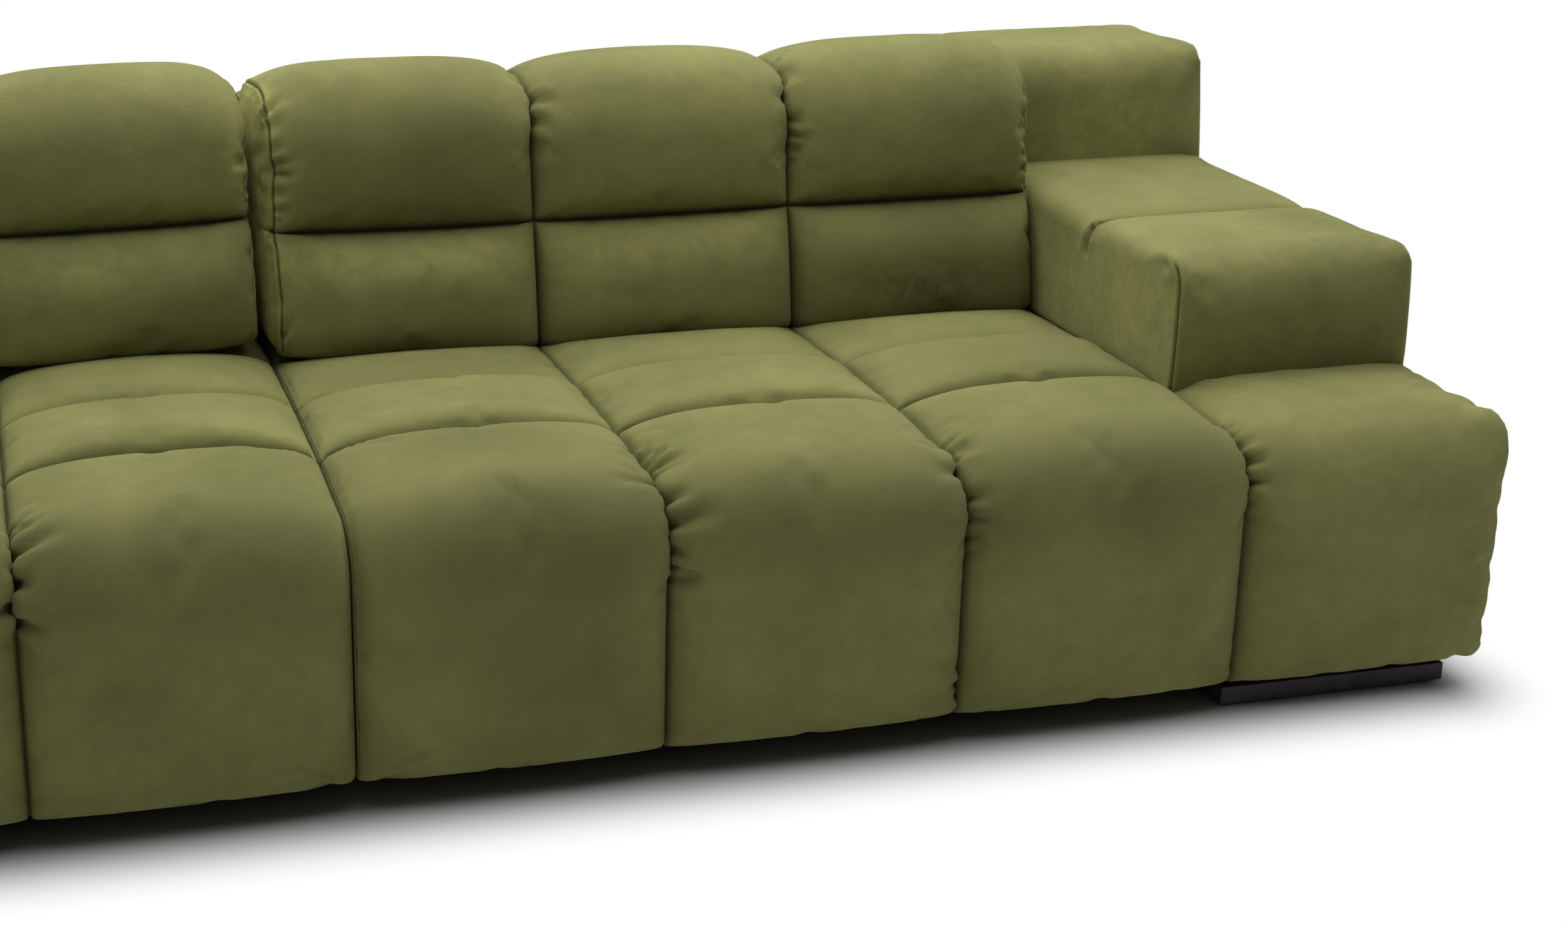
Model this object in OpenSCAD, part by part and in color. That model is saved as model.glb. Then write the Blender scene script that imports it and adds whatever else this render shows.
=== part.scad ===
// Tufted lounge sofa in two mirrored modules, each with an arm, a fixed back and a loose back
// cushion. X runs along the seat, Y to the back and Z up. The origin lies on the floor under
// the middle. The right module is drawn, and the left one is its mirror image.

/* [Module widths] */
// Width of one seat tuft
column_w = 420; // [360:5:480]
// Seat tufts side by side in a module
seat_columns = 3; // [2:1:4]
// Width of the arm's tuft
arm_w = 394; // [300:2:460]
// Gap between the two modules
module_gap = 4; // [2:1:10]

/* [Depths from the front seam] */
// Depth of the front tufts on top of the seat
front_row_d = 239; // [200:1:280]
// Depth of each seat tuft behind them
seat_row_d = 253; // [220:1:280]
// Where the back's front face starts at seat height
back_foot_d = 902; // [880:2:1000]
// Depth of the module to its rear seam
module_d = 1175; // [1150:5:1300]

/* [Heights] */
// Height of the seams between the seat tufts
seat_h = 386; // [350:2:430]
// Height of the arm's crest
arm_h = 603; // [540:1:680]
// Height of the back's crest behind the cushion
back_h = 745; // [700:1:780]
// Height of the back's crest beside the arm
corner_h = 790; // [740:1:860]
// Rake of the back in degrees
back_rake = 9.4; // [4:0.2:14]

/* [Tufts] */
// How far the front tufts stand out of their seams
front_crown = 45; // [20:1:60]
// How far the seat tufts rise out of their seams
seat_crown = 24; // [10:1:35]
// How far the rear tufts stand out
rear_crown = 20; // [5:1:40]
// Rise of the arm's tufts
arm_crown = 18; // [5:1:30]
// Rise of the back's tufts
back_crown = 12; // [5:1:25]
// Swell of the arm's sides
side_crown = 8; // [2:1:15]
// Radius of the roll at the seat's front edge
front_roll_r = 75; // [40:1:110]
// Radius of the roll at the front hem
hem_roll_r = 30; // [15:1:50]
// Radius of the roll at the arm's front
arm_roll_r = 60; // [30:1:90]
// Radius of the roll over the back beside the arm
corner_roll_r = 55; // [30:1:90]
// Radius of the sewn edges of arm and back
edge_r = 18; // [8:1:30]

/* [Back cushion] */
// Thickness of the back cushion at its seams
cushion_t = 177; // [140:1:220]
// Height of the seam between lumbar and upper tufts
cushion_row_h = 580; // [520:2:640]
// Height of the cushion's top seam plane
cushion_h = 785; // [740:1:900]
// How far the cushion's front tufts stand out
cushion_crown = 48; // [20:1:60]
// How far the cushion's top rises
cushion_top_crown = 20; // [10:1:35]
// Radius of the cushion's front top roll
cushion_roll_r = 60; // [30:1:80]
// Thickness of the filled insert
insert_t = 110; // [60:2:130]
// Width of the zip tape
zip_w = 12; // [8:1:20]

/* [Frame] */
// Height of the base rails
rail_h = 150; // [100:2:180]
// Thickness of the base rails
rail_t = 40; // [25:1:50]
// Thickness of the plywood boards
board_t = 18; // [12:1:25]
// Thickness of the thin plywood panel and deck
panel_t = 9; // [6:1:12]
// Thickness of the padded cover at front and rear
front_skin = 30; // [20:1:45]
// Thickness of the padded cover at the outer side
side_skin = 40; // [25:1:50]
// Thickness of the padded cover at the module gap
inner_skin = 20; // [10:1:30]
// Thickness of the padded cover over the seat foam
roof_skin = 40; // [25:1:50]
// Width of one webbing strap
strap_w = 60; // [40:5:80]
// Thickness of the webbing straps
strap_t = 2; // [1:0.5:4]
// Webbing straps in a module
strap_count = 9; // [6:1:11]
// Plywood ribs in the back
rib_count = 5; // [3:1:6]

/* [Feet] */
// Height of the feet
foot_h = 26; // [20:1:60]
// Length of the slab feet under the arm
slab_foot_l = 358; // [240:2:360]
// Depth of the slab feet
slab_foot_d = 120; // [90:2:160]
// Side of the square feet by the module gap
inner_foot_w = 80; // [60:2:120]
// Distance of the inner front foot from the front seam
inner_foot_inset = 150; // [90:5:250]
// Height of the glides
glide_h = 3; // [2:0.5:6]
// Radius of the glides
glide_r = 15; // [10:1:20]
// Radius of the foot screws
screw_r = 4; // [3:0.5:5]
// Length of the foot screws
screw_l = 70; // [50:1:90]

/* [Module link] */
// Width of the link plates along the depth
link_w = 60; // [40:2:100]
// Thickness of the link plates
link_t = 3; // [2:0.5:5]
// Reach of the link plate past the gap
link_reach = 62; // [55:1:90]
// Thickness of the tongue
tongue_t = 6; // [4:0.5:10]
// Depth that the tongue drops below the slotted plate
tongue_drop = 5; // [3:0.5:8]

/* [Hidden] */

// Fits and small sizes
soft_gap = 0.3; // between a soft form and what it rests on
fit_gap = 0.3; // between the inner pieces and the padded cover
cushion_gap = 4; // beside the loose cushion
lean_gap = 0.5; // between the loose cushion and the back
screw_gap = 0.3;
link_gap = 0.5; // round the tongue in its slot
cloth_t = 1;
overrun = 5;
zip_t = 2;
head_r = 7;
head_h = 4;
head_recess = 2;
deck_t = 12;
slab_inset = 46; // from the module's side to the slab feet
slab_screw_inset = 45;
slot_inset = 9; // from the link plate's end to its slot
tongue_tip = 2.5; // what the tongue shows below the slotted plate
back_step = 4; // between the two heights of the back
screw_fn = 32;
edge_steps = 2;
roll_steps = 4;

// Shares that shape the soft forms
column_shares = [-1, -0.94, -0.76, -0.4, 0.4, 0.76, 0.94];
wide_column_shares = [-1, -0.95, -0.7, 0.7, 0.95];
row_shares = [-0.92, -0.68, 0, 0.68, 0.92, 1];
face_shares = [0.3, 0.6, 0.85];
rear_shares = [-0.85, 0, 0.85];
arm_seam_share = 0.43; // where the arm's two tufts meet
arm_side_share = 0.5;
arm_front_share = 0.4; // fullness that the arm keeps at its front face
arm_top_shares = [-0.5, 0, 0.5];
arm_front_tuft_shares = [0, 0.7, 0.94, 1];
arm_rear_tuft_shares = [-0.94, -0.7, 0, 0.7, 1];
back_rear_shares = [-0.5, 0.5, 0.9];
lumbar_shares = [-0.4, 0.2, 0.6, 0.86, 1];
upper_shares = [0.07, 0.25, 0.6, 0.9];
cushion_top_shares = [0.5, 0.8];
glide_shares = [0.35, 0.65];
edge_full_share = 0.72; // fullness that a sewn outer edge keeps
cushion_edge_share = 0.45;
pillow_power = 4;
edge_power = 6;

// Places worked out from the sizes
under_h = glide_h + foot_h;
rail_bottom = under_h + cloth_t;
rail_top = rail_bottom + rail_h;
roof_h = seat_h - roof_skin;
module_w = seat_columns * column_w + arm_w;
arm_x = seat_columns * column_w;
gap_x = module_gap / 2;
front_y = front_crown - (front_crown + module_d + rear_crown) / 2;
seat_crest = seat_h + seat_crown;
arm_front_d = front_row_d + soft_gap;
arm_rear_d = back_foot_d - soft_gap;
arm_seam_d = arm_front_d + (arm_rear_d - arm_front_d) * arm_seam_share;
column_seams = [gap_x, for (i = [1 : seat_columns]) i * column_w, module_w];
back_seams = [gap_x, for (i = [1 : seat_columns - 1]) i * column_w, arm_x - back_step];
cushion_x = [gap_x + cushion_gap / 2, arm_x - cushion_gap];
cushion_seams = [cushion_x[0], for (i = [1 : seat_columns - 1]) i * column_w, cushion_x[1]];
row_seams = [for (d = [front_row_d : seat_row_d : back_foot_d - seat_row_d / 2]) d,
    back_foot_d];

// The space inside the padded covers
in_x0 = gap_x + inner_skin;
in_x1 = module_w - side_skin;
in_y0 = front_skin;
in_y1 = module_d - front_skin;
arm_in_x0 = arm_x + side_skin;
arm_in_y0 = arm_front_d + side_skin;
arm_in_y1 = back_foot_d - side_skin;
arm_in_h = arm_h - arm_crown - front_skin;
back_in_y0 = round(back_foot_d + rake_run(back_h) + front_skin);
back_in_h = back_h - back_crown - front_skin;

// How far the back's front face has leant back at height z
function rake_run(z) = (z - seat_h) * tan(back_rake);

// Fullness of a tuft from one seam at -1 to the next at 1
function pillow(t) = sqrt(max(0, 1 - pow(abs(t), pillow_power)));

// Fullness towards a sewn outer edge that keeps part of it
function edged(t, kept) = 1 - (1 - kept) * pow(abs(t), edge_power);

// A point pushed out of the seam plane by its swell, times how full the tuft is there.
// tilt is the way the surface faces, with 0 to the back, 90 up and 180 to the front.
function swollen(x, p, full) =
    [x, p[0] + p[3] * full * cos(p[2]), p[1] + p[3] * full * sin(p[2])];

// Points of a roll of radius r about a centre, as [y, z, tilt]
function roll(centre_y, centre_z, r, from, to, steps) =
    [for (i = [0 : steps]) let (a = from + (to - from) * i / steps)
        [centre_y + r * cos(a), centre_z + r * sin(a), a]];

// Swell of the wrap that runs up the front and over the top
function wrap_swell(run, length, tilt, face_crown, top_crown) =
    pillow(2 * run / length - 1)
    * (top_crown + (face_crown - top_crown) * max(0, sin(tilt - 90)));

// Stations along X as [x, fullness of the wrap, fullness of the rows behind it]
function stations(seams, shares, inner_kept, outer_kept, flat_rows_from) = [
    for (i = [0 : len(seams) - 2])
        let (mid = (seams[i] + seams[i + 1]) / 2, half = (seams[i + 1] - seams[i]) / 2,
            last = i == len(seams) - 2)
        for (t = last ? concat(shares, [1]) : shares)
            let (full = i == 0 && t < 0 && inner_kept > 0 ? edged(t, inner_kept)
                : last && t > 0 && outer_kept > 0 ? edged(t, outer_kept) : pillow(t))
            [mid + t * half, full, mid + t * half > flat_rows_from ? 0 : full]];

// The middle of a ring's box, where its end face's triangles meet
function ring_middle(r) =
    [for (k = [0 : 2]) let (v = [for (p = r) p[k]]) (min(v) + max(v)) / 2];

// A solid with triangular sides through equal rings of points, closed by its two end rings
module skinned(rings) {
    n = len(rings[0]);
    last = len(rings) - 1;
    first_middle = n * len(rings);
    sides = [for (i = [0 : last - 1], j = [0 : n - 1])
        let (a = i * n + j, b = i * n + (j + 1) % n)
            each [[a, b, b + n], [a, b + n, a + n]]];
    ends = [for (j = [0 : n - 1]) let (k = (j + 1) % n)
        each [[k, j, first_middle], [last * n + j, last * n + k, first_middle + 1]]];
    polyhedron(concat([for (r = rings) each r], [ring_middle(rings[0]), ring_middle(rings[last])]),
        concat(sides, ends), convexity = 12);
}

// A box between two corners
module block(low, high) {
    translate(low) cube(high - low);
}

// Places what is drawn from the front seam in the sofa's own frame
module placed() {
    translate([0, front_y, 0]) children();
}

module mirrored() {
    mirror([1, 0, 0]) children();
}

// Base cover: the front tufts wrap over the edge, the seat rows follow, and the rear is plain
face_l = seat_h - under_h - soft_gap - hem_roll_r - front_roll_r;
hem_l = hem_roll_r * PI / 2;
roll_l = front_roll_r * PI / 2;
wrap_l = hem_l + face_l + roll_l + front_row_d - front_roll_r;
hem_bottom = under_h + soft_gap;

function seat_wrap() = concat(
    [for (p = roll(hem_roll_r, hem_bottom + hem_roll_r, hem_roll_r, 270, 180,
        edge_steps))
        let (run = hem_l * (270 - p[2]) / 90)
            [p[0], p[1], 180, wrap_swell(run, wrap_l, p[2], front_crown, seat_crown), 1]],
    [for (s = face_shares) [0, hem_bottom + hem_roll_r + face_l * s, 180,
        wrap_swell(hem_l + face_l * s, wrap_l, 180, front_crown, seat_crown), 1]],
    [for (p = roll(front_roll_r, seat_h - front_roll_r, front_roll_r, 180, 90,
        roll_steps))
        let (run = hem_l + face_l + roll_l * (180 - p[2]) / 90)
            [p[0], p[1], p[2], wrap_swell(run, wrap_l, p[2], front_crown, seat_crown), 1]],
    [for (s = face_shares) let (d = (front_row_d - front_roll_r) * sqrt(s))
        [front_roll_r + d, seat_h, 90,
            wrap_swell(hem_l + face_l + roll_l + d, wrap_l, 90, front_crown, seat_crown), 1]],
    [[front_row_d, seat_h, 90, 0, 1]]);

function seat_rows() = [for (i = [0 : len(row_seams) - 2])
    let (mid = (row_seams[i] + row_seams[i + 1]) / 2, half = (row_seams[i + 1] - row_seams[i]) / 2)
        for (t = row_shares) [mid + t * half, seat_h, 90, seat_crown * pillow(t), 2]];

function seat_rear() = concat(
    [for (p = roll(module_d - edge_r, seat_h - edge_r, edge_r, 90, 0, edge_steps))
        [p[0], p[1], p[2], 0, 1]],
    [for (t = rear_shares)
        [module_d, (seat_h - edge_r + hem_bottom) / 2 - t * (seat_h - edge_r - hem_bottom) / 2,
            0, rear_crown * pillow(t), 1]],
    [[module_d, hem_bottom, 0, 0, 1]]);

module seat_cover() {
    section = concat(seat_wrap(), seat_rows(), seat_rear());
    rings = [for (s = stations(column_seams, column_shares, 0, edge_full_share, arm_x))
        [for (p = section) swollen(s[0], p, p[4] == 2 ? s[2] : s[1])]];
    color("#6b7040") placed() difference() {
        skinned(rings);
        block([in_x0, in_y0, -overrun], [in_x1, in_y1, roof_h]);
        block([arm_in_x0, arm_in_y0, 0], [in_x1, arm_in_y1, seat_crest + overrun]);
        block([in_x0, back_in_y0, 0], [in_x1, in_y1, seat_crest + overrun]);
    }
}

// Base frame of timber rails on edge
rail_x0 = in_x0 + fit_gap;
rail_x1 = in_x1 - fit_gap;
rail_y0 = in_y0 + fit_gap;
rail_y1 = in_y1 - fit_gap;
seat_rail_y = back_foot_d;

module screw_holes(places) {
    for (p = places)
        translate([p[0], p[1], 0])
            cylinder(r = screw_r + screw_gap, h = screw_top + screw_gap, $fn = screw_fn);
}

module rail(low, high, places = []) {
    color("#c9a878") placed() difference() {
        block([low[0], low[1], rail_bottom], [high[0], high[1], rail_top]);
        screw_holes(places);
    }
}

module front_rail() {
    rail([rail_x0, rail_y0], [rail_x1, rail_y0 + rail_t], screw_places);
}

module back_rail() {
    rail([rail_x0, rail_y1 - rail_t], [rail_x1, rail_y1], screw_places);
}

module inner_rail() {
    rail([rail_x0, rail_y0 + rail_t], [rail_x0 + rail_t, rail_y1 - rail_t], screw_places);
}

module outer_rail() {
    rail([rail_x1 - rail_t, rail_y0 + rail_t], [rail_x1, rail_y1 - rail_t]);
}

module seat_rail() {
    rail([rail_x0 + rail_t, seat_rail_y], [rail_x1 - rail_t, seat_rail_y + rail_t]);
}

module cross_rail() {
    x = (rail_x0 + arm_in_x0) / 2 - rail_t / 2;
    rail([x, rail_y0 + rail_t], [x + rail_t, seat_rail_y]);
}

module arm_rail() {
    x = arm_in_x0 + fit_gap;
    rail([x, rail_y0 + rail_t], [x + rail_t, seat_rail_y]);
}

module dust_cloth() {
    color("#1d1d1f") placed() difference() {
        block([rail_x0, rail_y0, under_h], [rail_x1, rail_y1, rail_bottom]);
        screw_holes(screw_places);
    }
}

// Webbing straps from the front rail to the seat rail, and the deck under the arm's front tuft
strap_room = arm_in_x0 - rail_x0 - rail_t - strap_w;

module seat_webbing() {
    color("#23211f") placed()
        for (i = [0 : strap_count - 1]) {
            x = rail_x0 + rail_t / 2 + strap_room * i / (strap_count - 1);
            block([x, rail_y0, rail_top], [x + strap_w, seat_rail_y + rail_t, rail_top + strap_t]);
        }
}

module deck_board() {
    color("#d8bd90") placed()
        block([arm_in_x0, rail_y0, rail_top], [rail_x1, arm_in_y0 - fit_gap, rail_top + deck_t]);
}

module seat_foam() {
    foam_top = roof_h - soft_gap;
    color("#e8dca8") placed() {
        block([rail_x0, rail_y0, rail_top + deck_t + soft_gap],
            [rail_x1, arm_in_y0 - fit_gap, foam_top]);
        block([rail_x0, arm_in_y0 - fit_gap, rail_top + deck_t + soft_gap],
            [arm_in_x0 - fit_gap, back_in_y0 - fit_gap, foam_top]);
        block([rail_x0, rail_y0, rail_top + strap_t + soft_gap],
            [arm_in_x0 - fit_gap, back_in_y0 - fit_gap, rail_top + deck_t + soft_gap]);
    }
}

// Arm: a box of plywood boards on the base rails, in a padded cover with two tufts
arm_low = seat_h + soft_gap;
arm_seam_h = arm_h - arm_crown;
arm_face_x0 = arm_x + side_crown;
arm_face_x1 = module_w - side_crown;

// One ring of the arm at depth d: lowered by drop at its front roll, full as its tuft is there
function arm_ring(d, drop, full) =
    let (top = arm_seam_h - drop, side = (top - edge_r - arm_low) * arm_side_share,
        mid_x = (arm_face_x0 + arm_face_x1) / 2, half_x = (arm_face_x1 - arm_face_x0) / 2 - edge_r,
        outline = concat(
            [[arm_face_x0, arm_low, 180, 0], [arm_face_x0, arm_low + side, 180, side_crown]],
            [for (p = roll(arm_face_x0 + edge_r, top - edge_r, edge_r, 180, 90, edge_steps))
                [p[0], p[1], p[2], p[2] > 90 ? side_crown : arm_crown * edge_full_share]],
            [for (t = arm_top_shares) [mid_x + t * half_x, top, 90, arm_crown]],
            [for (p = roll(arm_face_x1 - edge_r, top - edge_r, edge_r, 90, 0, edge_steps))
                [p[0], p[1], p[2], p[2] < 90 ? side_crown : arm_crown * edge_full_share]],
            [[arm_face_x1, arm_low + side, 0, side_crown], [arm_face_x1, arm_low, 0, 0]]))
    [for (p = outline) let (q = swollen(d, p, full)) [q[1], d, q[2]]];

function arm_rings() = let (
    tuft_1 = arm_seam_d - arm_front_d, tuft_2 = arm_rear_d - arm_seam_d) concat(
    [for (p = roll(arm_front_d + arm_roll_r, arm_roll_r, arm_roll_r, 180, 90, roll_steps))
        arm_ring(p[0], 2 * arm_roll_r - p[1],
            arm_front_share + (1 - arm_front_share) * sin(p[2]))],
    [for (t = arm_front_tuft_shares) arm_ring(arm_front_d + tuft_1 * (1 + t) / 2, 0, pillow(t))],
    [for (t = arm_rear_tuft_shares)
        arm_ring(arm_seam_d + tuft_2 * (1 + t) / 2, 0, max(pillow(t), t > 0 ? edge_full_share : 0))]);

module arm_cover() {
    color("#6b7040") placed() difference() {
        skinned([for (r = arm_rings()) [for (i = [len(r) - 1 : -1 : 0]) r[i]]]);
        block([arm_in_x0, arm_in_y0, 0], [in_x1, arm_in_y1, arm_in_h]);
    }
}

arm_board_x0 = arm_in_x0 + fit_gap;
arm_board_x1 = in_x1 - fit_gap;
arm_board_y0 = arm_in_y0 + fit_gap;
arm_board_y1 = arm_in_y1 - fit_gap;
arm_board_top = arm_in_h - fit_gap;

module arm_board(low, high) {
    color("#d8bd90") placed() block(low, high);
}

module arm_inner_panel() {
    arm_board([arm_board_x0, arm_board_y0, rail_top],
        [arm_board_x0 + board_t, arm_board_y1, arm_board_top - board_t]);
}

module arm_outer_panel() {
    arm_board([arm_board_x1 - board_t, arm_board_y0, rail_top],
        [arm_board_x1, arm_board_y1, arm_board_top - board_t]);
}

module arm_end_panels() {
    for (y = [arm_board_y0, arm_board_y1 - board_t])
        arm_board([arm_board_x0 + board_t, y, rail_top],
            [arm_board_x1 - board_t, y + board_t, arm_board_top - board_t]);
}

module arm_top_board() {
    arm_board([arm_board_x0, arm_board_y0, arm_board_top - board_t],
        [arm_board_x1, arm_board_y1, arm_board_top]);
}

// Back: plywood ribs on the back rail, in a padded cover whose front face is raked
back_low = seat_h + soft_gap;

// Section of the back from its crest, the radius of its front roll, and how far its top leans
function back_section(crest, front_r, run) =
    let (top = crest - back_crown, top_y = back_foot_d + run) concat(
        [[back_foot_d, back_low, 180, 0]],
        [for (p = roll(top_y + front_r, top - front_r, front_r, 180, 90, roll_steps))
            [p[0], p[1], p[2], back_crown * pow(sin(p[2]), 2)]],
        [[(top_y + module_d) / 2, top, 90, back_crown]],
        [for (p = roll(module_d - edge_r, top - edge_r, edge_r, 90, 0, edge_steps))
            [p[0], p[1], p[2], (p[2] < 90 ? rear_crown : back_crown) * edge_full_share]],
        [for (t = back_rear_shares)
            [module_d, (top + back_low) / 2 - t * (top - back_low) / 2, 0, rear_crown * pillow(t)]],
        [[module_d, back_low, 0, 0]]);

function back_rings(seams, inner_kept, outer_kept, section) =
    [for (s = stations(seams, wide_column_shares, inner_kept, outer_kept, module_w))
        [for (p = section) swollen(s[0], p, s[1])]];

module back_cover() {
    seat_part = back_section(back_h, edge_r, rake_run(back_h - back_crown));
    arm_part = back_section(corner_h, corner_roll_r, 0);
    color("#6b7040") placed() difference() {
        skinned(concat(back_rings(back_seams, edge_full_share, 0, seat_part),
            back_rings([arm_x, module_w], 0, edge_full_share, arm_part)));
        block([in_x0, back_in_y0, 0], [in_x1, in_y1, back_in_h]);
    }
}

rib_y0 = back_in_y0 + fit_gap + panel_t;
back_board_top = back_in_h - fit_gap;

module back_ribs() {
    color("#d8bd90") placed()
        for (i = [0 : rib_count - 1]) {
            x = rail_x0 + (rail_x1 - board_t - rail_x0) * i / (rib_count - 1);
            block([x, rib_y0, rail_top], [x + board_t, rail_y1, back_board_top - board_t]);
        }
}

module back_top_board() {
    color("#d8bd90") placed()
        block([rail_x0, rib_y0 - panel_t, back_board_top - board_t],
            [rail_x1, rail_y1, back_board_top]);
}

module back_panel() {
    color("#d8bd90") placed()
        block([rail_x0, rib_y0 - panel_t, rail_top],
            [rail_x1, rib_y0, back_board_top - board_t]);
}

// Loose back cushion: lumbar tufts below, and upper tufts that wrap over the top
cushion_low = seat_crest + soft_gap;
lumbar_h = cushion_row_h - cushion_low;
upper_face_l = cushion_h - cushion_row_h - cushion_roll_r;
cushion_roll_l = cushion_roll_r * PI / 2;
cushion_top_l = cushion_t - cushion_roll_r;
cushion_wrap_l = upper_face_l + cushion_roll_l + cushion_top_l;

// Height z and distance d in front of the back plane, as the upright point [y, z]
function leant(d, z) = back_foot_d + rake_run(z) - lean_gap - d;

function cushion_section() = concat(
    [for (p = roll(edge_r, cushion_low + edge_r, edge_r, 270, 180, edge_steps))
        [leant(cushion_t - p[0], p[1]), p[1], 180,
            cushion_crown * edge_full_share * max(0, sin(p[2] - 90))]],
    [for (t = lumbar_shares)
        let (z = cushion_low + lumbar_h * (1 + t) / 2)
            [leant(cushion_t, z), z, 180, cushion_crown * pillow(t)]],
    [for (s = upper_shares) let (z = cushion_row_h + upper_face_l * s)
        [leant(cushion_t, z), z, 180,
            wrap_swell(upper_face_l * s, cushion_wrap_l, 180, cushion_crown, cushion_top_crown)]],
    [for (p = roll(cushion_roll_r, cushion_h - cushion_roll_r, cushion_roll_r, 180, 90,
        roll_steps))
        [leant(cushion_t - p[0], p[1]), p[1], p[2],
            wrap_swell(upper_face_l + cushion_roll_l * (180 - p[2]) / 90, cushion_wrap_l,
                p[2], cushion_crown, cushion_top_crown)]],
    [for (s = cushion_top_shares) [leant(cushion_top_l * (1 - s), cushion_h), cushion_h, 90,
        wrap_swell(cushion_wrap_l - cushion_top_l * (1 - s), cushion_wrap_l, 90,
            cushion_crown, cushion_top_crown)]],
    [for (p = roll(-edge_r, cushion_h - edge_r, edge_r, 90, 0, edge_steps))
        [leant(-p[0], p[1]), p[1], p[2], 0]],
    [[leant(0, cushion_low), cushion_low, 0, 0]]);

insert_low = cushion_low + roof_skin;
insert_h = cushion_h - roof_skin - insert_low;
insert_inset = (cushion_t - insert_t) / 2;

module insert_shape(grow) {
    translate([cushion_x[0] + roof_skin - grow, leant(cushion_t - insert_inset, insert_low) - grow,
        insert_low - grow])
        rotate([-back_rake, 0, 0])
            cube([cushion_x[1] - cushion_x[0] - 2 * (roof_skin - grow),
                insert_t * cos(back_rake) + 2 * grow, insert_h + 2 * grow]);
}

zip_y = leant(cushion_t / 2, cushion_low);

module cushion_cover() {
    rings = [for (s = stations(cushion_seams, column_shares, cushion_edge_share,
        cushion_edge_share, module_w)) [for (p = cushion_section()) swollen(s[0], p, s[1])]];
    color("#6b7040") placed() difference() {
        skinned(rings);
        insert_shape(soft_gap);
        block([cushion_x[0] + roof_skin - soft_gap, zip_y - soft_gap, cushion_low - overrun],
            [cushion_x[1] - roof_skin + soft_gap, zip_y + zip_w + soft_gap,
                cushion_low + zip_t + soft_gap]);
    }
}

module cushion_insert() {
    color("#efe9dc") placed() insert_shape(0);
}

module cushion_zip() {
    color("#3a3d28") placed()
        block([cushion_x[0] + roof_skin, zip_y, cushion_low],
            [cushion_x[1] - roof_skin, zip_y + zip_w, cushion_low + zip_t]);
}

// Feet: slabs under the arm, square blocks by the module gap, glides and screws
slab_x1 = module_w - slab_inset;
slab_x0 = slab_x1 - slab_foot_l;
front_screw_y = rail_y0 + rail_t / 2;
back_screw_y = rail_y1 - rail_t / 2;
inner_screw_x = rail_x0 + rail_t / 2;
inner_foot_y = [inner_foot_inset, module_d - inner_foot_inset - inner_foot_w];
inner_screw_pitch = inner_foot_w / 2;
screw_top = glide_h + head_recess + head_h + screw_l;

screw_places = concat(
    [for (x = [slab_x0 + slab_screw_inset, slab_x1 - slab_screw_inset],
        y = [front_screw_y, back_screw_y]) [x, y]],
    [for (y = inner_foot_y, s = [-1, 1])
        [inner_screw_x, y + inner_foot_w / 2 + s * inner_screw_pitch / 2]]);

glide_places = concat(
    [for (s = glide_shares, y = [slab_foot_d / 2, module_d - slab_foot_d / 2])
        [slab_x0 + slab_foot_l * s, y]],
    [for (y = inner_foot_y) [rail_x0 + inner_foot_w - glide_r - screw_gap, y + inner_foot_w / 2]]);

module foot(low, size) {
    color("#2b2530") placed() difference() {
        block([low[0], low[1], glide_h], [low[0] + size[0], low[1] + size[1], under_h]);
        screw_holes(screw_places);
        for (p = screw_places)
            translate([p[0], p[1], 0])
                cylinder(r = head_r + screw_gap, h = glide_h + head_recess + head_h + screw_gap,
                    $fn = screw_fn);
    }
}

module front_foot() {
    foot([slab_x0, 0], [slab_foot_l, slab_foot_d]);
}

module rear_foot() {
    foot([slab_x0, module_d - slab_foot_d], [slab_foot_l, slab_foot_d]);
}

module inner_feet() {
    for (y = inner_foot_y)
        foot([rail_x0, y], [inner_foot_w, inner_foot_w]);
}

module glides() {
    color("#0f0f10") placed()
        for (p = glide_places)
            translate([p[0], p[1], 0]) cylinder(r = glide_r, h = glide_h, $fn = screw_fn);
}

module foot_screws() {
    color("#b9bcc0") placed()
        for (p = screw_places)
            translate([p[0], p[1], glide_h + head_recess]) {
                cylinder(r = head_r, h = head_h, $fn = screw_fn);
                cylinder(r = screw_r, h = head_h + screw_l, $fn = screw_fn);
            }
}

// Module link: a slotted plate reaches across the gap, and the other module's tongue drops into it
link_y = [inner_foot_y[0] + inner_foot_w + link_w, inner_foot_y[1] - 2 * link_w];
slot_x = slot_inset - link_reach;
tongue_w = link_w / 2;
plate_top = under_h - link_t - tongue_drop;

module link_plates() {
    color("#8d9196") placed()
        for (y = link_y)
            difference() {
                union() {
                    block([rail_x0, y, under_h - link_t], [rail_x0 + rail_t, y + link_w, under_h]);
                    block([rail_x0, y, plate_top - link_t], [rail_x0 + link_t, y + link_w, under_h]);
                    block([-link_reach, y, plate_top - link_t],
                        [rail_x0 + link_t, y + link_w, plate_top]);
                }
                block([slot_x - link_gap, y + (link_w - tongue_w) / 2 - link_gap,
                    plate_top - link_t - overrun], [slot_x + tongue_t + link_gap,
                        y + (link_w + tongue_w) / 2 + link_gap, plate_top + link_gap]);
            }
}

module link_tongues() {
    color("#8d9196") placed()
        for (y = link_y) {
            block([-rail_x0 - rail_t, y, under_h - link_t], [-rail_x0, y + link_w, under_h]);
            block([slot_x, y + (link_w - tongue_w) / 2, plate_top - link_t - tongue_tip],
                [slot_x + tongue_t, y + (link_w + tongue_w) / 2, under_h]);
        }
}

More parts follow.
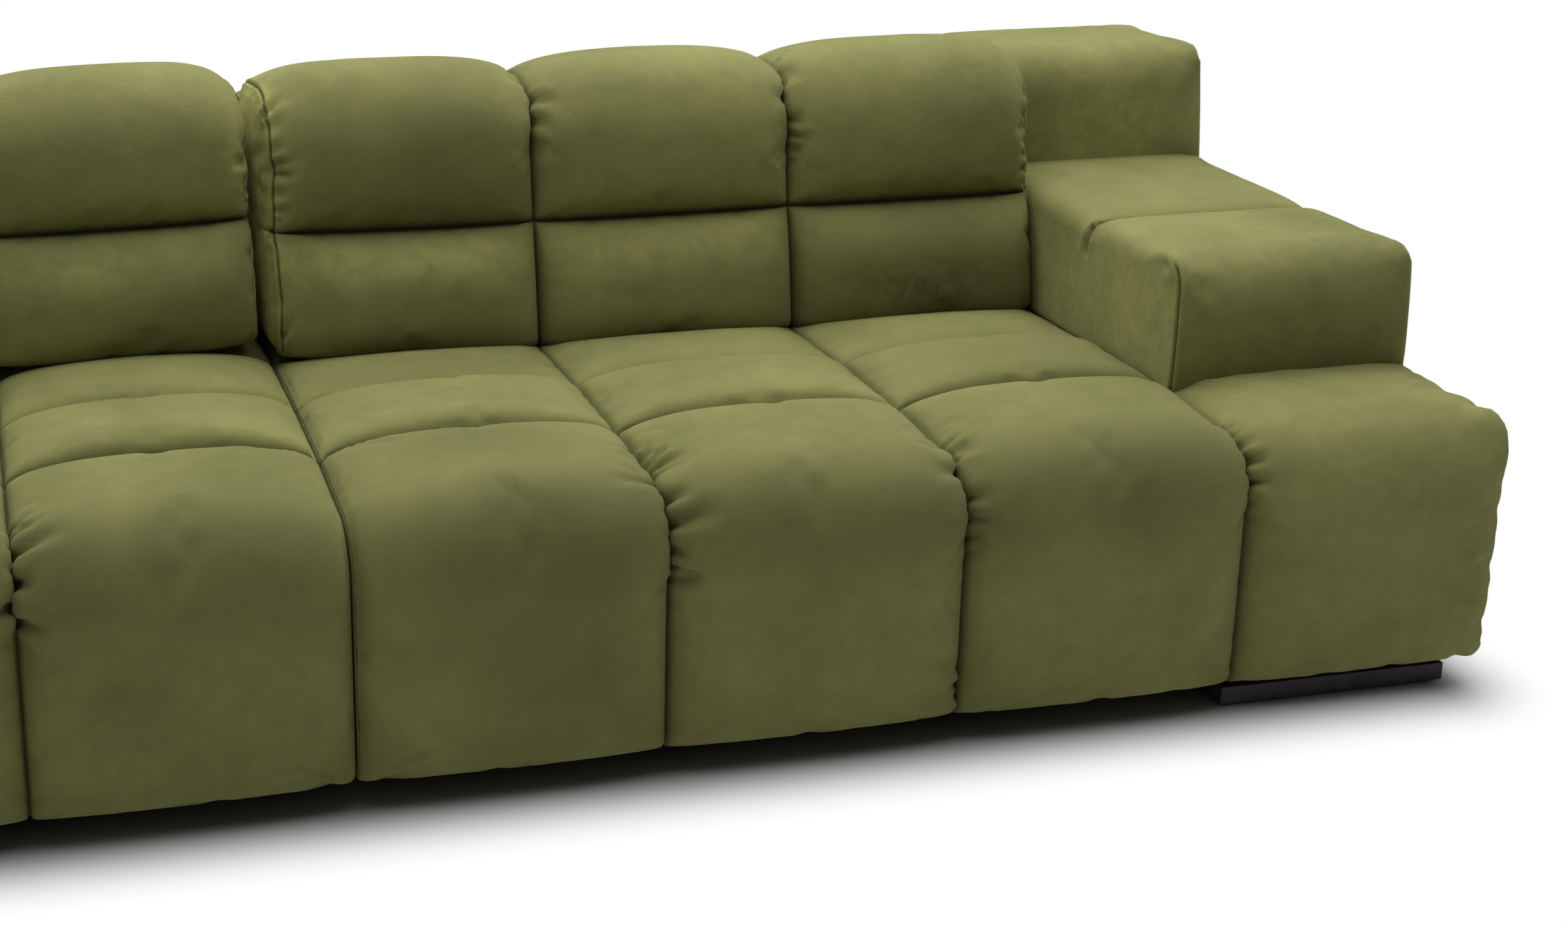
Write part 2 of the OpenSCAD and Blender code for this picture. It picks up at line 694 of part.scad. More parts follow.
seat_cover();  // right_seat_cover
seat_foam();  // right_seat_foam
deck_board();  // right_deck_board
seat_webbing();  // right_seat_webbing
front_rail();  // right_front_rail
seat_rail();  // right_seat_rail
back_rail();  // right_back_rail
inner_rail();  // right_inner_rail
outer_rail();  // right_outer_rail
cross_rail();  // right_cross_rail
arm_rail();  // right_arm_rail
dust_cloth();  // right_dust_cloth
arm_cover();  // right_arm_cover
arm_inner_panel();  // right_arm_inner_panel
arm_outer_panel();  // right_arm_outer_panel
arm_end_panels();  // right_arm_end_panels
arm_top_board();  // right_arm_top_board
back_cover();  // right_back_cover
back_ribs();  // right_back_ribs
back_top_board();  // right_back_top_board
back_panel();  // right_back_panel
cushion_cover();  // right_cushion_cover
cushion_insert();  // right_cushion_insert
cushion_zip();  // right_cushion_zip
front_foot();  // right_front_foot
rear_foot();  // right_rear_foot
inner_feet();  // right_inner_feet
glides();  // right_glides
foot_screws();  // right_foot_screws
link_plates();  // right_link_plates
mirrored() seat_cover();  // left_seat_cover
mirrored() seat_foam();  // left_seat_foam
mirrored() deck_board();  // left_deck_board
mirrored() seat_webbing();  // left_seat_webbing
mirrored() front_rail();  // left_front_rail
mirrored() seat_rail();  // left_seat_rail
mirrored() back_rail();  // left_back_rail
mirrored() inner_rail();  // left_inner_rail
mirrored() outer_rail();  // left_outer_rail
mirrored() cross_rail();  // left_cross_rail
mirrored() arm_rail();  // left_arm_rail
mirrored() dust_cloth();  // left_dust_cloth
mirrored() arm_cover();  // left_arm_cover
mirrored() arm_inner_panel();  // left_arm_inner_panel
mirrored() arm_outer_panel();  // left_arm_outer_panel
mirrored() arm_end_panels();  // left_arm_end_panels
mirrored() arm_top_board();  // left_arm_top_board
mirrored() back_cover();  // left_back_cover
mirrored() back_ribs();  // left_back_ribs
mirrored() back_top_board();  // left_back_top_board
mirrored() back_panel();  // left_back_panel
mirrored() cushion_cover();  // left_cushion_cover
mirrored() cushion_insert();  // left_cushion_insert
mirrored() cushion_zip();  // left_cushion_zip
mirrored() front_foot();  // left_front_foot
mirrored() rear_foot();  // left_rear_foot
mirrored() inner_feet();  // left_inner_feet
mirrored() glides();  // left_glides
mirrored() foot_screws();  // left_foot_screws
link_tongues();  // left_link_tongues
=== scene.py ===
# Lounge sofa in tufted velvet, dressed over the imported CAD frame.
# Metres, X along the seat, Y to the back, Z up, origin on the floor under the middle.
import math
import bpy
import numpy as np
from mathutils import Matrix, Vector


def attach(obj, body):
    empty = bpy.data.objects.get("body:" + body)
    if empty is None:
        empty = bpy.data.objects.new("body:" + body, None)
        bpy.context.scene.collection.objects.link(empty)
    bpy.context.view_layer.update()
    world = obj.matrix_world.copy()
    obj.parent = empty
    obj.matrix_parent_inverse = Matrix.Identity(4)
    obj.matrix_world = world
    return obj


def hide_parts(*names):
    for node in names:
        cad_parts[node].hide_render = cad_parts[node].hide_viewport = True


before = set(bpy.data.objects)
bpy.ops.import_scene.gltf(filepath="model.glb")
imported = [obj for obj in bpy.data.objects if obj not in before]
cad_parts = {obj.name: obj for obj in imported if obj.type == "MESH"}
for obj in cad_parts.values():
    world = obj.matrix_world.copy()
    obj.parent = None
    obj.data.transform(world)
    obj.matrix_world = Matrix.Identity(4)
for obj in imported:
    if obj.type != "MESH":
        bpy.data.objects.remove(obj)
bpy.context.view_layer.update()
scene = bpy.context.scene
scene.view_settings.view_transform = "Standard"
frontY = -0.575     # plane of the front seams, which the shapes below are measured from
seatTop = 0.386     # height of the seat's seams, where the covers above it start


# ---- camera and stage ----

camera = {
    "location": (-0.4313, -3.4274, 1.4972),
    "turn": (72.292, 0, -14.389),
    "lens": 55.70,
    "shift": (0.130, -0.049),
}


def placeCamera():
    data = bpy.data.cameras.new("camera")
    data.lens = camera["lens"]
    data.sensor_width = 36
    data.shift_x, data.shift_y = camera["shift"]
    view = bpy.data.objects.new("camera", data)
    view.location = camera["location"]
    view.rotation_euler = [math.radians(a) for a in camera["turn"]]
    scene.collection.objects.link(view)
    scene.camera = view


def linear(code):
    channels = [int(code[i:i + 2], 16) / 255 for i in (1, 3, 5)]
    return [c / 12.92 if c <= 0.04045 else ((c + 0.055) / 1.055) ** 2.4 for c in channels] + [1]


def addNode(tree, kind, settings=None, links=None):
    node = tree.nodes.new(kind)
    for name, value in (settings or {}).items():
        if isinstance(name, int) or name in node.inputs:
            node.inputs[name].default_value = value
        else:
            setattr(node, name, value)
    for name, socket in (links or {}).items():
        tree.links.new(socket, node.inputs[name])
    return node


def newMaterial(name):
    made = bpy.data.materials.new(name)
    made.use_nodes = True
    made.node_tree.nodes.clear()
    return made, made.node_tree


def finishMaterial(tree, shader):
    addNode(tree, "ShaderNodeOutputMaterial", links={"Surface": shader})


light = {
    "sky": 0.13,
    "lamps": [
        {"name": "overhead", "power": 86, "size": (5.0, 2.6),
         "place": (1.3, -0.3, 3.4), "aim": (1.3, -0.3, 0)},
        {"name": "rear", "power": 86, "size": (5.0, 2.0),
         "place": (1.3, 1.5, 3.0), "aim": (1.3, 0.4, 0)},
        {"name": "left", "power": 60, "size": (3.0, 2.0),
         "place": (-5.0, -0.6, 2.6), "aim": (0.6, 0, 0.4)},
    ],
}


def lightScene():
    world = bpy.data.worlds.new("studio")
    world.use_nodes = True
    tree = world.node_tree
    tree.nodes.clear()
    rays = addNode(tree, "ShaderNodeLightPath")
    seen = addNode(tree, "ShaderNodeMath", {"operation": "MAXIMUM"},
                   {0: rays.outputs["Is Camera Ray"], 1: rays.outputs["Is Transmission Ray"]})
    sky = addNode(tree, "ShaderNodeBackground", {"Color": (1, 1, 1, 1), "Strength": light["sky"]})
    white = addNode(tree, "ShaderNodeBackground", {"Color": (1, 1, 1, 1), "Strength": 1})
    mixed = addNode(tree, "ShaderNodeMixShader", {},
                    {0: seen.outputs[0], 1: sky.outputs[0], 2: white.outputs[0]})
    addNode(tree, "ShaderNodeOutputWorld", links={"Surface": mixed.outputs[0]})
    scene.world = world
    for lamp in light["lamps"]:
        data = bpy.data.lights.new(lamp["name"], "AREA")
        data.shape = "RECTANGLE"
        data.size, data.size_y = lamp["size"]
        data.energy = lamp["power"]
        holder = bpy.data.objects.new(lamp["name"], data)
        holder.location = lamp["place"]
        way = Vector(lamp["aim"]) - Vector(lamp["place"])
        holder.rotation_euler = way.to_track_quat("-Z", "Y").to_euler()
        scene.collection.objects.link(holder)


# white to the camera away from the sofa; near and under it the camera sees a darker floor colour, a
# painted shadow under the front hem over the real one
ground = {
    "half": 30, "footprint": (1.58, 0.57), "fade": 0.19,
    "bounce": "#eeeeee", "near": "#d8d8d8", "under": "#808080",
}


def layFloor():
    made, tree = newMaterial("painted studio floor")
    rays = addNode(tree, "ShaderNodeLightPath")
    place = addNode(tree, "ShaderNodeTexCoord").outputs["Object"]
    size = addNode(tree, "ShaderNodeVectorMath", {"operation": "ABSOLUTE"}, {0: place})
    past = addNode(tree, "ShaderNodeVectorMath",
                   {"operation": "SUBTRACT", 1: (*ground["footprint"], 0)}, {0: size.outputs[0]})
    past = addNode(tree, "ShaderNodeVectorMath", {"operation": "MAXIMUM", 1: (0, 0, 0)},
                   {0: past.outputs[0]})
    far = addNode(tree, "ShaderNodeVectorMath", {"operation": "LENGTH"}, {0: past.outputs[0]})
    fade = addNode(tree, "ShaderNodeMapRange",
                   {"interpolation_type": "SMOOTHSTEP", "From Max": ground["fade"]},
                   {"Value": far.outputs["Value"]})
    # painted shadow: to the camera the floor darkens from the near colour towards and under the
    # footprint; other rays see the even bounce colour
    tone = addNode(tree, "ShaderNodeMix", {"data_type": "RGBA", 6: linear(ground["under"]),
                                           7: linear(ground["near"])}, {0: fade.outputs[0]})
    tone = addNode(tree, "ShaderNodeMix", {"data_type": "RGBA", 6: linear(ground["bounce"])},
                   {0: rays.outputs["Is Camera Ray"], 7: tone.outputs[2]})
    matt = addNode(tree, "ShaderNodeBsdfDiffuse", {}, {"Color": tone.outputs[2]})
    glow = addNode(tree, "ShaderNodeEmission", {"Color": (1, 1, 1, 1), "Strength": 1})
    share = addNode(tree, "ShaderNodeMath", {"operation": "MULTIPLY"},
                    {0: rays.outputs["Is Camera Ray"], 1: fade.outputs[0]})
    mixed = addNode(tree, "ShaderNodeMixShader", {},
                    {0: share.outputs[0], 1: matt.outputs[0], 2: glow.outputs[0]})
    finishMaterial(tree, mixed.outputs[0])
    mesh = bpy.data.meshes.new("floor")
    half = ground["half"]
    corners = [(-half, -half, 0), (half, -half, 0), (half, half, 0), (-half, half, 0)]
    mesh.from_pydata(corners, [], [(0, 1, 2, 3)])
    mesh.materials.append(made)
    floor = bpy.data.objects.new("floor", mesh)
    scene.collection.objects.link(floor)


# ---- parts of a material ----

def stretched(tree, factors=(1, 1, 1)):
    place = addNode(tree, "ShaderNodeTexCoord").outputs["Object"]
    return addNode(tree, "ShaderNodeMapping", {"Scale": factors}, {"Vector": place}).outputs[0]


def noiseAt(tree, place, mm, detail=3.0, rough=0.5, warp=0.0):
    settings = {"Scale": 1000 / mm, "Detail": detail, "Roughness": rough, "Distortion": warp}
    return addNode(tree, "ShaderNodeTexNoise", settings, {"Vector": place}).outputs["Fac"]


def bandsAt(tree, place, mm, axis, warp=0.0):
    # mm is the width of one band; the wave texture turns 20 radians a metre at scale 1
    settings = {"Scale": 1000 / mm / 20 * math.pi, "wave_type": "BANDS", "bands_direction": axis,
                "Distortion": warp, "Detail": 1.0}
    return addNode(tree, "ShaderNodeTexWave", settings, {"Vector": place}).outputs["Fac"]


def cellsAt(tree, place, mm):
    settings = {"Scale": 1000 / mm}
    return addNode(tree, "ShaderNodeTexVoronoi", settings, {"Vector": place}).outputs["Distance"]


def combine(tree, operation, first, second):
    settings = {"operation": operation}
    return addNode(tree, "ShaderNodeMath", settings, {0: first, 1: second}).outputs[0]


def blend(tree, share, first, second):
    settings = {"data_type": "FLOAT", 0: share}
    return addNode(tree, "ShaderNodeMix", settings, {2: first, 3: second}).outputs[0]


def tones(tree, share, low, high, dark, pale, middle=None):
    ramp = addNode(tree, "ShaderNodeValToRGB", {}, {"Fac": share})
    ramp.color_ramp.elements[0].position = low
    ramp.color_ramp.elements[0].color = linear(dark)
    ramp.color_ramp.elements[1].position = high
    ramp.color_ramp.elements[1].color = linear(pale)
    if middle:
        ramp.color_ramp.elements.new((low + high) / 2).color = linear(middle)
    return ramp.outputs["Color"]


def coat(tree, color, height, depthMm, settings, strength=0.8):
    bump = addNode(tree, "ShaderNodeBump", {"Strength": strength, "Distance": depthMm / 1000},
                   {"Height": height})
    shader = addNode(tree, "ShaderNodeBsdfPrincipled", settings,
                     {"Base Color": color, "Normal": bump.outputs[0]})
    finishMaterial(tree, shader.outputs[0])


# ---- velvet ----

velvet = {
    "deep": "#6c6e40", "body": "#7a7b49", "light": "#888952", "rampEnds": (0.34, 0.66),
    "patchMm": 210, "brushMm": 34, "grainMm": 1.5, "brushShare": 0.32, "grainShare": 0.18,
    "ragged": {"From Min": 0.35, "From Max": 0.6, "To Min": 0.75, "To Max": 1.15},
    # backing: colour of the stitch line, also used as painted shade beside seams and in creases
    "backingAndShade": "#23260f", "seamAndShadeShare": 0.85,
    "grainBump": {"Strength": 0.25, "Distance": 0.0006},
    "brushBump": {"Strength": 0.35, "Distance": 0.004},
    "pile": {"Roughness": 0.95, "IOR": 1.45, "Specular IOR Level": 0.15,
             "Sheen Weight": 0.35, "Sheen Roughness": 0.6, "Sheen Tint": linear("#b9b78a")},
}


def weaveVelvet():
    # cut pile velvet, woven: dark into the pile, pale along its edges, cloudy where it was stroked,
    # with painted light and shade laid over it in patches
    made, tree = newMaterial("cut pile velvet")
    place = addNode(tree, "ShaderNodeTexCoord").outputs["Object"]
    patches = noiseAt(tree, place, velvet["patchMm"], detail=3.0, rough=0.5, warp=0.4)
    strokes = noiseAt(tree, place, velvet["brushMm"], detail=4.0, rough=0.6, warp=0.6)
    grain = noiseAt(tree, place, velvet["grainMm"], detail=2.0, rough=0.7)
    clouds = blend(tree, velvet["brushShare"], patches, strokes)
    clouds = blend(tree, velvet["grainShare"], clouds, grain)
    color = tones(tree, clouds, *velvet["rampEnds"], velvet["deep"], velvet["light"], velvet["body"])
    # painted light and shade: per point patches, partly where the pile lies up or down, lighten or
    # darken the cloth's colour as light would; made ragged by the brush noise
    napAndPaintedLight = addNode(tree, "ShaderNodeAttribute", {"attribute_name": "napAndPaintedLight"})
    ragged = addNode(tree, "ShaderNodeMapRange", velvet["ragged"], {"Value": strokes})
    napAndLightShare = combine(tree, "MULTIPLY", napAndPaintedLight.outputs["Fac"], ragged.outputs[0])
    bright = addNode(tree, "ShaderNodeMath", {"operation": "ADD", 1: 1.0}, {0: napAndLightShare})
    napAndLightTone = addNode(tree, "ShaderNodeHueSaturation", {}, {"Value": bright.outputs[0], "Color": color})
    # the seam attribute mixes towards the backing colour: the stitch line, and painted shade beside
    # seams and in creases
    seam = addNode(tree, "ShaderNodeAttribute", {"attribute_name": "seam"})
    partedAndShaded = addNode(tree, "ShaderNodeMath", {"operation": "MULTIPLY", 1: velvet["seamAndShadeShare"]},
                     {0: seam.outputs["Fac"]})
    tone = addNode(tree, "ShaderNodeMix", {"data_type": "RGBA", 7: linear(velvet["backingAndShade"])},
                   {0: partedAndShaded.outputs[0], 6: napAndLightTone.outputs[0]})
    fine = addNode(tree, "ShaderNodeBump", velvet["grainBump"], {"Height": grain})
    soft = addNode(tree, "ShaderNodeBump", velvet["brushBump"],
                   {"Height": strokes, "Normal": fine.outputs[0]})
    pile = addNode(tree, "ShaderNodeBsdfPrincipled", velvet["pile"],
                   {"Base Color": tone.outputs[2], "Normal": soft.outputs[0]})
    finishMaterial(tree, pile.outputs[0])
    return made


# ---- frame, fillings and fittings ----

def sawnPine(axis):
    # sawn pine: pale, with darker grain drawn out along the rail and fine marks of the saw across it
    made, tree = newMaterial("sawn pine, grain along " + "XYZ"[axis])
    along = [0.05 if k == axis else 1 for k in range(3)]
    grain = noiseAt(tree, stretched(tree, along), mm=7, detail=4.0, rough=0.6, warp=0.8)
    marks = bandsAt(tree, stretched(tree), mm=2.6, axis="XYZ"[axis], warp=1.5)
    color = tones(tree, grain, 0.38, 0.66, "#a67c4c", "#dcc093")
    coat(tree, color, combine(tree, "MULTIPLY", grain, marks), depthMm=0.5,
         settings={"Roughness": 0.75})
    return made


def birchPlywood(axis):
    # birch plywood: calm veneer on the faces, brown and pale plies along the cut edges
    made, tree = newMaterial("birch plywood, thin along " + "XYZ"[axis])
    plies = bandsAt(tree, stretched(tree), mm=3.0, axis="XYZ"[axis])
    along = [1 if k == axis else 0.12 for k in range(3)]
    veneer = noiseAt(tree, stretched(tree, along), mm=9, detail=4.0, rough=0.55, warp=0.5)
    normal = addNode(tree, "ShaderNodeNewGeometry").outputs["True Normal"]
    parts = addNode(tree, "ShaderNodeSeparateXYZ", {}, {"Vector": normal})
    facing = addNode(tree, "ShaderNodeMath", {"operation": "ABSOLUTE"}, {0: parts.outputs[axis]})
    face = addNode(tree, "ShaderNodeMath", {"operation": "GREATER_THAN", 1: 0.5},
                   {0: facing.outputs[0]}).outputs[0]
    color = addNode(tree, "ShaderNodeMix", {"data_type": "RGBA"}, {
        0: face, 6: tones(tree, plies, 0.35, 0.65, "#a3793f", "#ddc190"),
        7: tones(tree, veneer, 0.35, 0.7, "#cbab78", "#e3cba0")}).outputs[2]
    coat(tree, color, veneer, depthMm=0.3, settings={"Roughness": 0.6})
    return made


def cutFoam():
    # cut polyurethane foam: open cells give a fine crumb, and the yellow deepens in clouds
    made, tree = newMaterial("cut polyurethane foam")
    place = stretched(tree)
    color = tones(tree, noiseAt(tree, place, mm=60), 0.35, 0.65, "#d9c998", "#ecdfb4")
    coat(tree, color, cellsAt(tree, place, mm=1.6), depthMm=0.8, settings={"Roughness": 0.95})
    return made


def wovenBand():
    # elastic webbing: black warp over grey rubber threads, seen as a fine check
    made, tree = newMaterial("woven elastic webbing")
    place = stretched(tree)
    warp = bandsAt(tree, place, mm=2.2, axis="X")
    weave = combine(tree, "MULTIPLY", warp, bandsAt(tree, place, mm=1.6, axis="Y"))
    color = tones(tree, weave, 0.1, 0.6, "#14110f", "#3d3731")
    coat(tree, color, weave, depthMm=0.5, settings={"Roughness": 0.85})
    return made


def spunbondCloth():
    # spunbonded dust cloth: nearly black felted fibres with a grid of pressed dots
    made, tree = newMaterial("spunbonded dust cloth")
    place = stretched(tree)
    fibres = noiseAt(tree, place, mm=1.2, detail=4.0, rough=0.7, warp=2.0)
    dots = cellsAt(tree, place, mm=3.5)
    color = tones(tree, fibres, 0.3, 0.7, "#17171a", "#2a2a2e")
    coat(tree, color, combine(tree, "ADD", fibres, dots), depthMm=0.3,
         settings={"Roughness": 0.9})
    return made


def cottonTicking():
    # downproof cotton ticking: tight off-white weave with a slub here and there
    made, tree = newMaterial("downproof cotton ticking")
    place = stretched(tree)
    warp = bandsAt(tree, place, mm=0.9, axis="X")
    weave = combine(tree, "MULTIPLY", warp, bandsAt(tree, place, mm=0.9, axis="Z"))
    slub = noiseAt(tree, stretched(tree, (0.1, 1, 1)), mm=3)
    color = tones(tree, slub, 0.3, 0.7, "#e2dccd", "#f4f0e6")
    coat(tree, color, weave, depthMm=0.2, settings={"Roughness": 0.9})
    return made


def coilZip():
    # nylon coil zip: rows of small teeth, a little shinier than the cloth around them
    made, tree = newMaterial("nylon coil zip")
    teeth = bandsAt(tree, stretched(tree), mm=2.5, axis="X")
    color = tones(tree, teeth, 0.2, 0.8, "#2c2e1f", "#4b4e36")
    coat(tree, color, teeth, depthMm=0.8, settings={"Roughness": 0.45})
    return made


def lacqueredFoot():
    # sprayed plum black lacquer on beech: satin, with orange peel and a breath of dust
    made, tree = newMaterial("sprayed plum black lacquer")
    place = stretched(tree)
    peel = noiseAt(tree, place, mm=2.5, detail=2.0)
    dust = noiseAt(tree, place, mm=30, detail=4.0, rough=0.6)
    gloss = {"Roughness": 0.42, "Specular IOR Level": 0.35, "Coat Weight": 0.15, "Coat Roughness": 0.3}
    color = tones(tree, dust, 0.3, 0.75, "#221c27", "#383040")
    coat(tree, color, peel, depthMm=0.12, settings=gloss)
    return made


def pressedFelt():
    # pressed wool felt: short dark fibres in every direction
    made, tree = newMaterial("pressed wool felt")
    fibres = noiseAt(tree, stretched(tree), mm=0.8, detail=5.0, rough=0.75, warp=3.0)
    color = tones(tree, fibres, 0.3, 0.7, "#0d0d0f", "#232327")
    coat(tree, color, fibres, depthMm=0.5, settings={"Roughness": 0.95})
    return made


def zincSteel():
    # zinc plated pressed steel: cool grey with the streaks of rolling
    made, tree = newMaterial("zinc plated pressed steel")
    streaks = noiseAt(tree, stretched(tree, (0.1, 1, 1)), mm=1.5, detail=3.0, rough=0.6)
    color = tones(tree, streaks, 0.3, 0.7, "#8f9396", "#b4b8bb")
    coat(tree, color, streaks, depthMm=0.05, settings={"Roughness": 0.38, "Metallic": 1.0})
    return made


footEase = {"width": 0.002, "segments": 3}


def dressFrame():
    pine = [sawnPine(axis) for axis in range(3)]
    plywood = [birchPlywood(axis) for axis in range(3)]
    lacquer = lacqueredFoot()
    finishes = [
        (pine[0], "front_rail seat_rail back_rail"),
        (pine[1], "inner_rail outer_rail cross_rail arm_rail"),
        (plywood[0], "arm_inner_panel arm_outer_panel back_ribs"),
        (plywood[1], "arm_end_panels back_panel"),
        (plywood[2], "deck_board arm_top_board back_top_board"),
        (cutFoam(), "seat_foam"), (wovenBand(), "seat_webbing"), (spunbondCloth(), "dust_cloth"),
        (cottonTicking(), "cushion_insert"), (coilZip(), "cushion_zip"), (pressedFelt(), "glides"),
        (lacquer, "front_foot rear_foot inner_feet"),
        (zincSteel(), "foot_screws link_plates link_tongues"),
    ]
    dressed = 0
    for finish, names in finishes:
        for name in (side + "_" + part for part in names.split() for side in ("right", "left")):
            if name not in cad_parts:
                continue        # plates are on the right module only, tongues on the left
            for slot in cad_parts[name].material_slots:
                slot.link = "OBJECT"
                slot.material = finish
            if finish is lacquer:
                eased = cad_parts[name].modifiers.new("eased edges", "BEVEL")
                eased.width = footEase["width"]
                eased.segments = footEase["segments"]
            dressed += 1
    print("frame dressed,", dressed, "nodes")


# ---- tufted covers ----

rake = math.tan(math.radians(9.4))     # how far the back leans for its height
bunching = 0.45     # how much closer points lie at the seams than between them
roundEdge = {
    "angles": (15, 30, 45, 60, 75, 90),     # stations between the top and a side
    "rings": 14,                            # stations that close the side
    "sewnAt": 45, "rowsTo": 60,             # angle of the sewn line, and where the row seams end
    "ramp": 0.07,                           # from the face's radius to the top's, along the outline
    "keepPower": 6, "sharpPower": 5, "bulgePower": 5,
    "taperHigh": 0.4, "tipHigh": (0.40, 0.80),
}
# how dark and how wide the painted shade beside column and row seams is; past, how far beyond the
# outer seams the row shade reaches; depth, the stitch groove
thread = {"columnPaintedShade": 0.6, "columnWide": 0.005, "rowPaintedShade": 0.95, "rowWide": 0.007,
          "past": 0.01, "depth": 0.005}

# columns of a traced outline, and of the stations across a cover
(pathY, pathZ, normalY, normalZ, pushY, pushZ, swellBy, endSwellBy, inRows, alongPath, isHeld,
 isSeam) = range(12)
stationX, wrapFull, rowsFull, atSeam, edgeShare, fromMiddle = range(6)


def pillow(t, power):
    return np.sqrt(np.clip(1 - np.abs(t) ** power, 0, 1))


def spread(count, bunch):
    # stations from -1 to 1 that lie closer together at both ends
    s = np.linspace(-1, 1, count + 1)
    return (1 - bunch) * s + bunch * np.sin(s * math.pi / 2)


def evenCount(length, step):
    return max(2, 2 * math.ceil(length / step / 2))


def partLength(part):
    if part[0] == "line":
        return math.hypot(part[3] - part[1], part[4] - part[2])
    return part[3] * math.radians(abs(part[5] - part[4]))


def followRun(parts, run):
    # points and outward normals at lengths along a chain of lines and arcs
    points = np.zeros((len(run), 4))
    start = 0
    for part in parts:
        length = partLength(part)
        here = run >= start - 1e-9
        share = np.clip((run - start) / length, 0, 1)[:, None]
        if part[0] == "line":
            begin, end = np.array(part[1:3]), np.array(part[3:5])
            way = (end - begin) / length
            normals = np.tile([-way[1], way[0]], (len(run), 1))
            spots = np.hstack([begin + (end - begin) * share, normals])
        else:
            angle = np.radians(part[4] + (part[5] - part[4]) * share)
            ring = np.hstack([np.cos(angle), np.sin(angle)])
            spots = np.hstack([np.array(part[1:3]) + part[3] * ring, ring])
        points[here] = spots[here]
        start += length
    return points


def tracePath(panels, step, edge=False):
    # the closed outline of a cover in the YZ plane, panel by panel
    rows = []
    travelled = 0
    for panel in panels:
        length = sum(partLength(p) for p in panel["run"])
        count = evenCount(length, panel.get("step", step))
        t = spread(count, panel.get("bunch", bunching))[:-1]
        run = panel.get("edgeRun", panel["run"]) if edge else panel["run"]
        spot = followRun(run, (t + 1) / 2 * sum(partLength(p) for p in run))
        face, top, rear = panel.get("crown", (0, 0, 0))
        front = np.clip(-spot[:, normalY], 0, 1)
        power = panel.get("power", (4, 4))
        lobe = np.where(t < 0, pillow(t, power[0]), pillow(t, power[1]))
        height = top + (face - top) * front + (rear - top) * np.clip(t, 0, 1)
        swell, endSwell = (height * np.where(t > 0, tail + (1 - tail) * lobe, lobe)
                           for tail in panel.get("tail", (0, 0)))
        endSwell *= 1 - panel.get("endLoss", 0) * np.clip(t, 0, 1)
        # what faces down swells straight forward, and the rear straight back
        push = spot[:, normalY:pushY].copy()
        push[push[:, 1] < 0] = [-1, 0]
        if push[:, 0].max() > 0.9 and spot[:, normalZ].min() > -0.5:
            push[spot[:, normalY] > 0.9] = [1, 0]
        held = 1 if panel.get("held") else 0
        for k in range(count):
            starts = k == 0
            rows.append([*spot[k], *push[k], swell[k], endSwell[k], panel.get("row", 0),
                         travelled + (t[k] + 1) / 2 * length, 1 if held or starts else 0,
                         1 if starts and panel is not panels[0] and not held else 0])
        travelled += length
    return np.array(rows)


def traceColumns(cover, step, rowsEnd):
    # stations along X, with how full the cover is there and how sharp its outline
    seams = cover["seams"]
    rows = []
    for i in range(len(seams) - 1):
        low, high = seams[i], seams[i + 1]
        last = i == len(seams) - 2
        count = evenCount(high - low, step)
        for k, t in enumerate(spread(count, bunching)):
            if k == count and not last:
                break
            full = pillow(t, cover.get("power", 4))
            rowFull = pillow(t, cover.get("rowPower", 4))
            side = 0 if i == 0 and t < 0 else 1 if last and t > 0 else None
            keep, sharp = (0, 0) if side is None else (cover["keep"][side], cover["sharp"][side])
            if keep:
                full = 1 - (1 - keep) * abs(t) ** roundEdge["keepPower"]
            x = (low + high) / 2 + t * (high - low) / 2
            rowFull = 0 if x > rowsEnd + 1e-6 else rowFull
            rows.append([x, full, rowFull, 1 if k == 0 and i > 0 else 0,
                         sharp * abs(t) ** roundEdge["sharpPower"], t])
    return np.array(rows)


def mitre(y, z, path):
    # where two faces of the outline meet at a hard corner, each ends at the other's inset line
    points, normals = np.stack([y, z], axis=1), path[:, normalY:pushY]
    after = np.roll(normals, -1, 0)
    for j in np.flatnonzero((normals * after).sum(1) < 0.5):
        for k in (j, (j + 1) % len(y)):
            beyond = (points - points[k]) @ normals[k]
            other = normals @ normals[k] < 0.3
            points -= np.where(other, np.maximum(beyond, 0), 0)[:, None] * normals[k]
    return points[:, 0], points[:, 1]


def edgeRadius(cover, path):
    # radius between the outline and each side: one on the faces, another along the top
    top = path[path[:, normalZ] > 0.99, alongPath]
    ends = np.minimum(path[:, alongPath] - top.min(), top.max() - path[:, alongPath])
    up = np.clip(ends / roundEdge["ramp"], 0, 1)
    up = up * up * (3 - 2 * up)
    return [face + (over - face) * up for face, over in zip(cover["edgeFace"], cover["edgeTop"])]


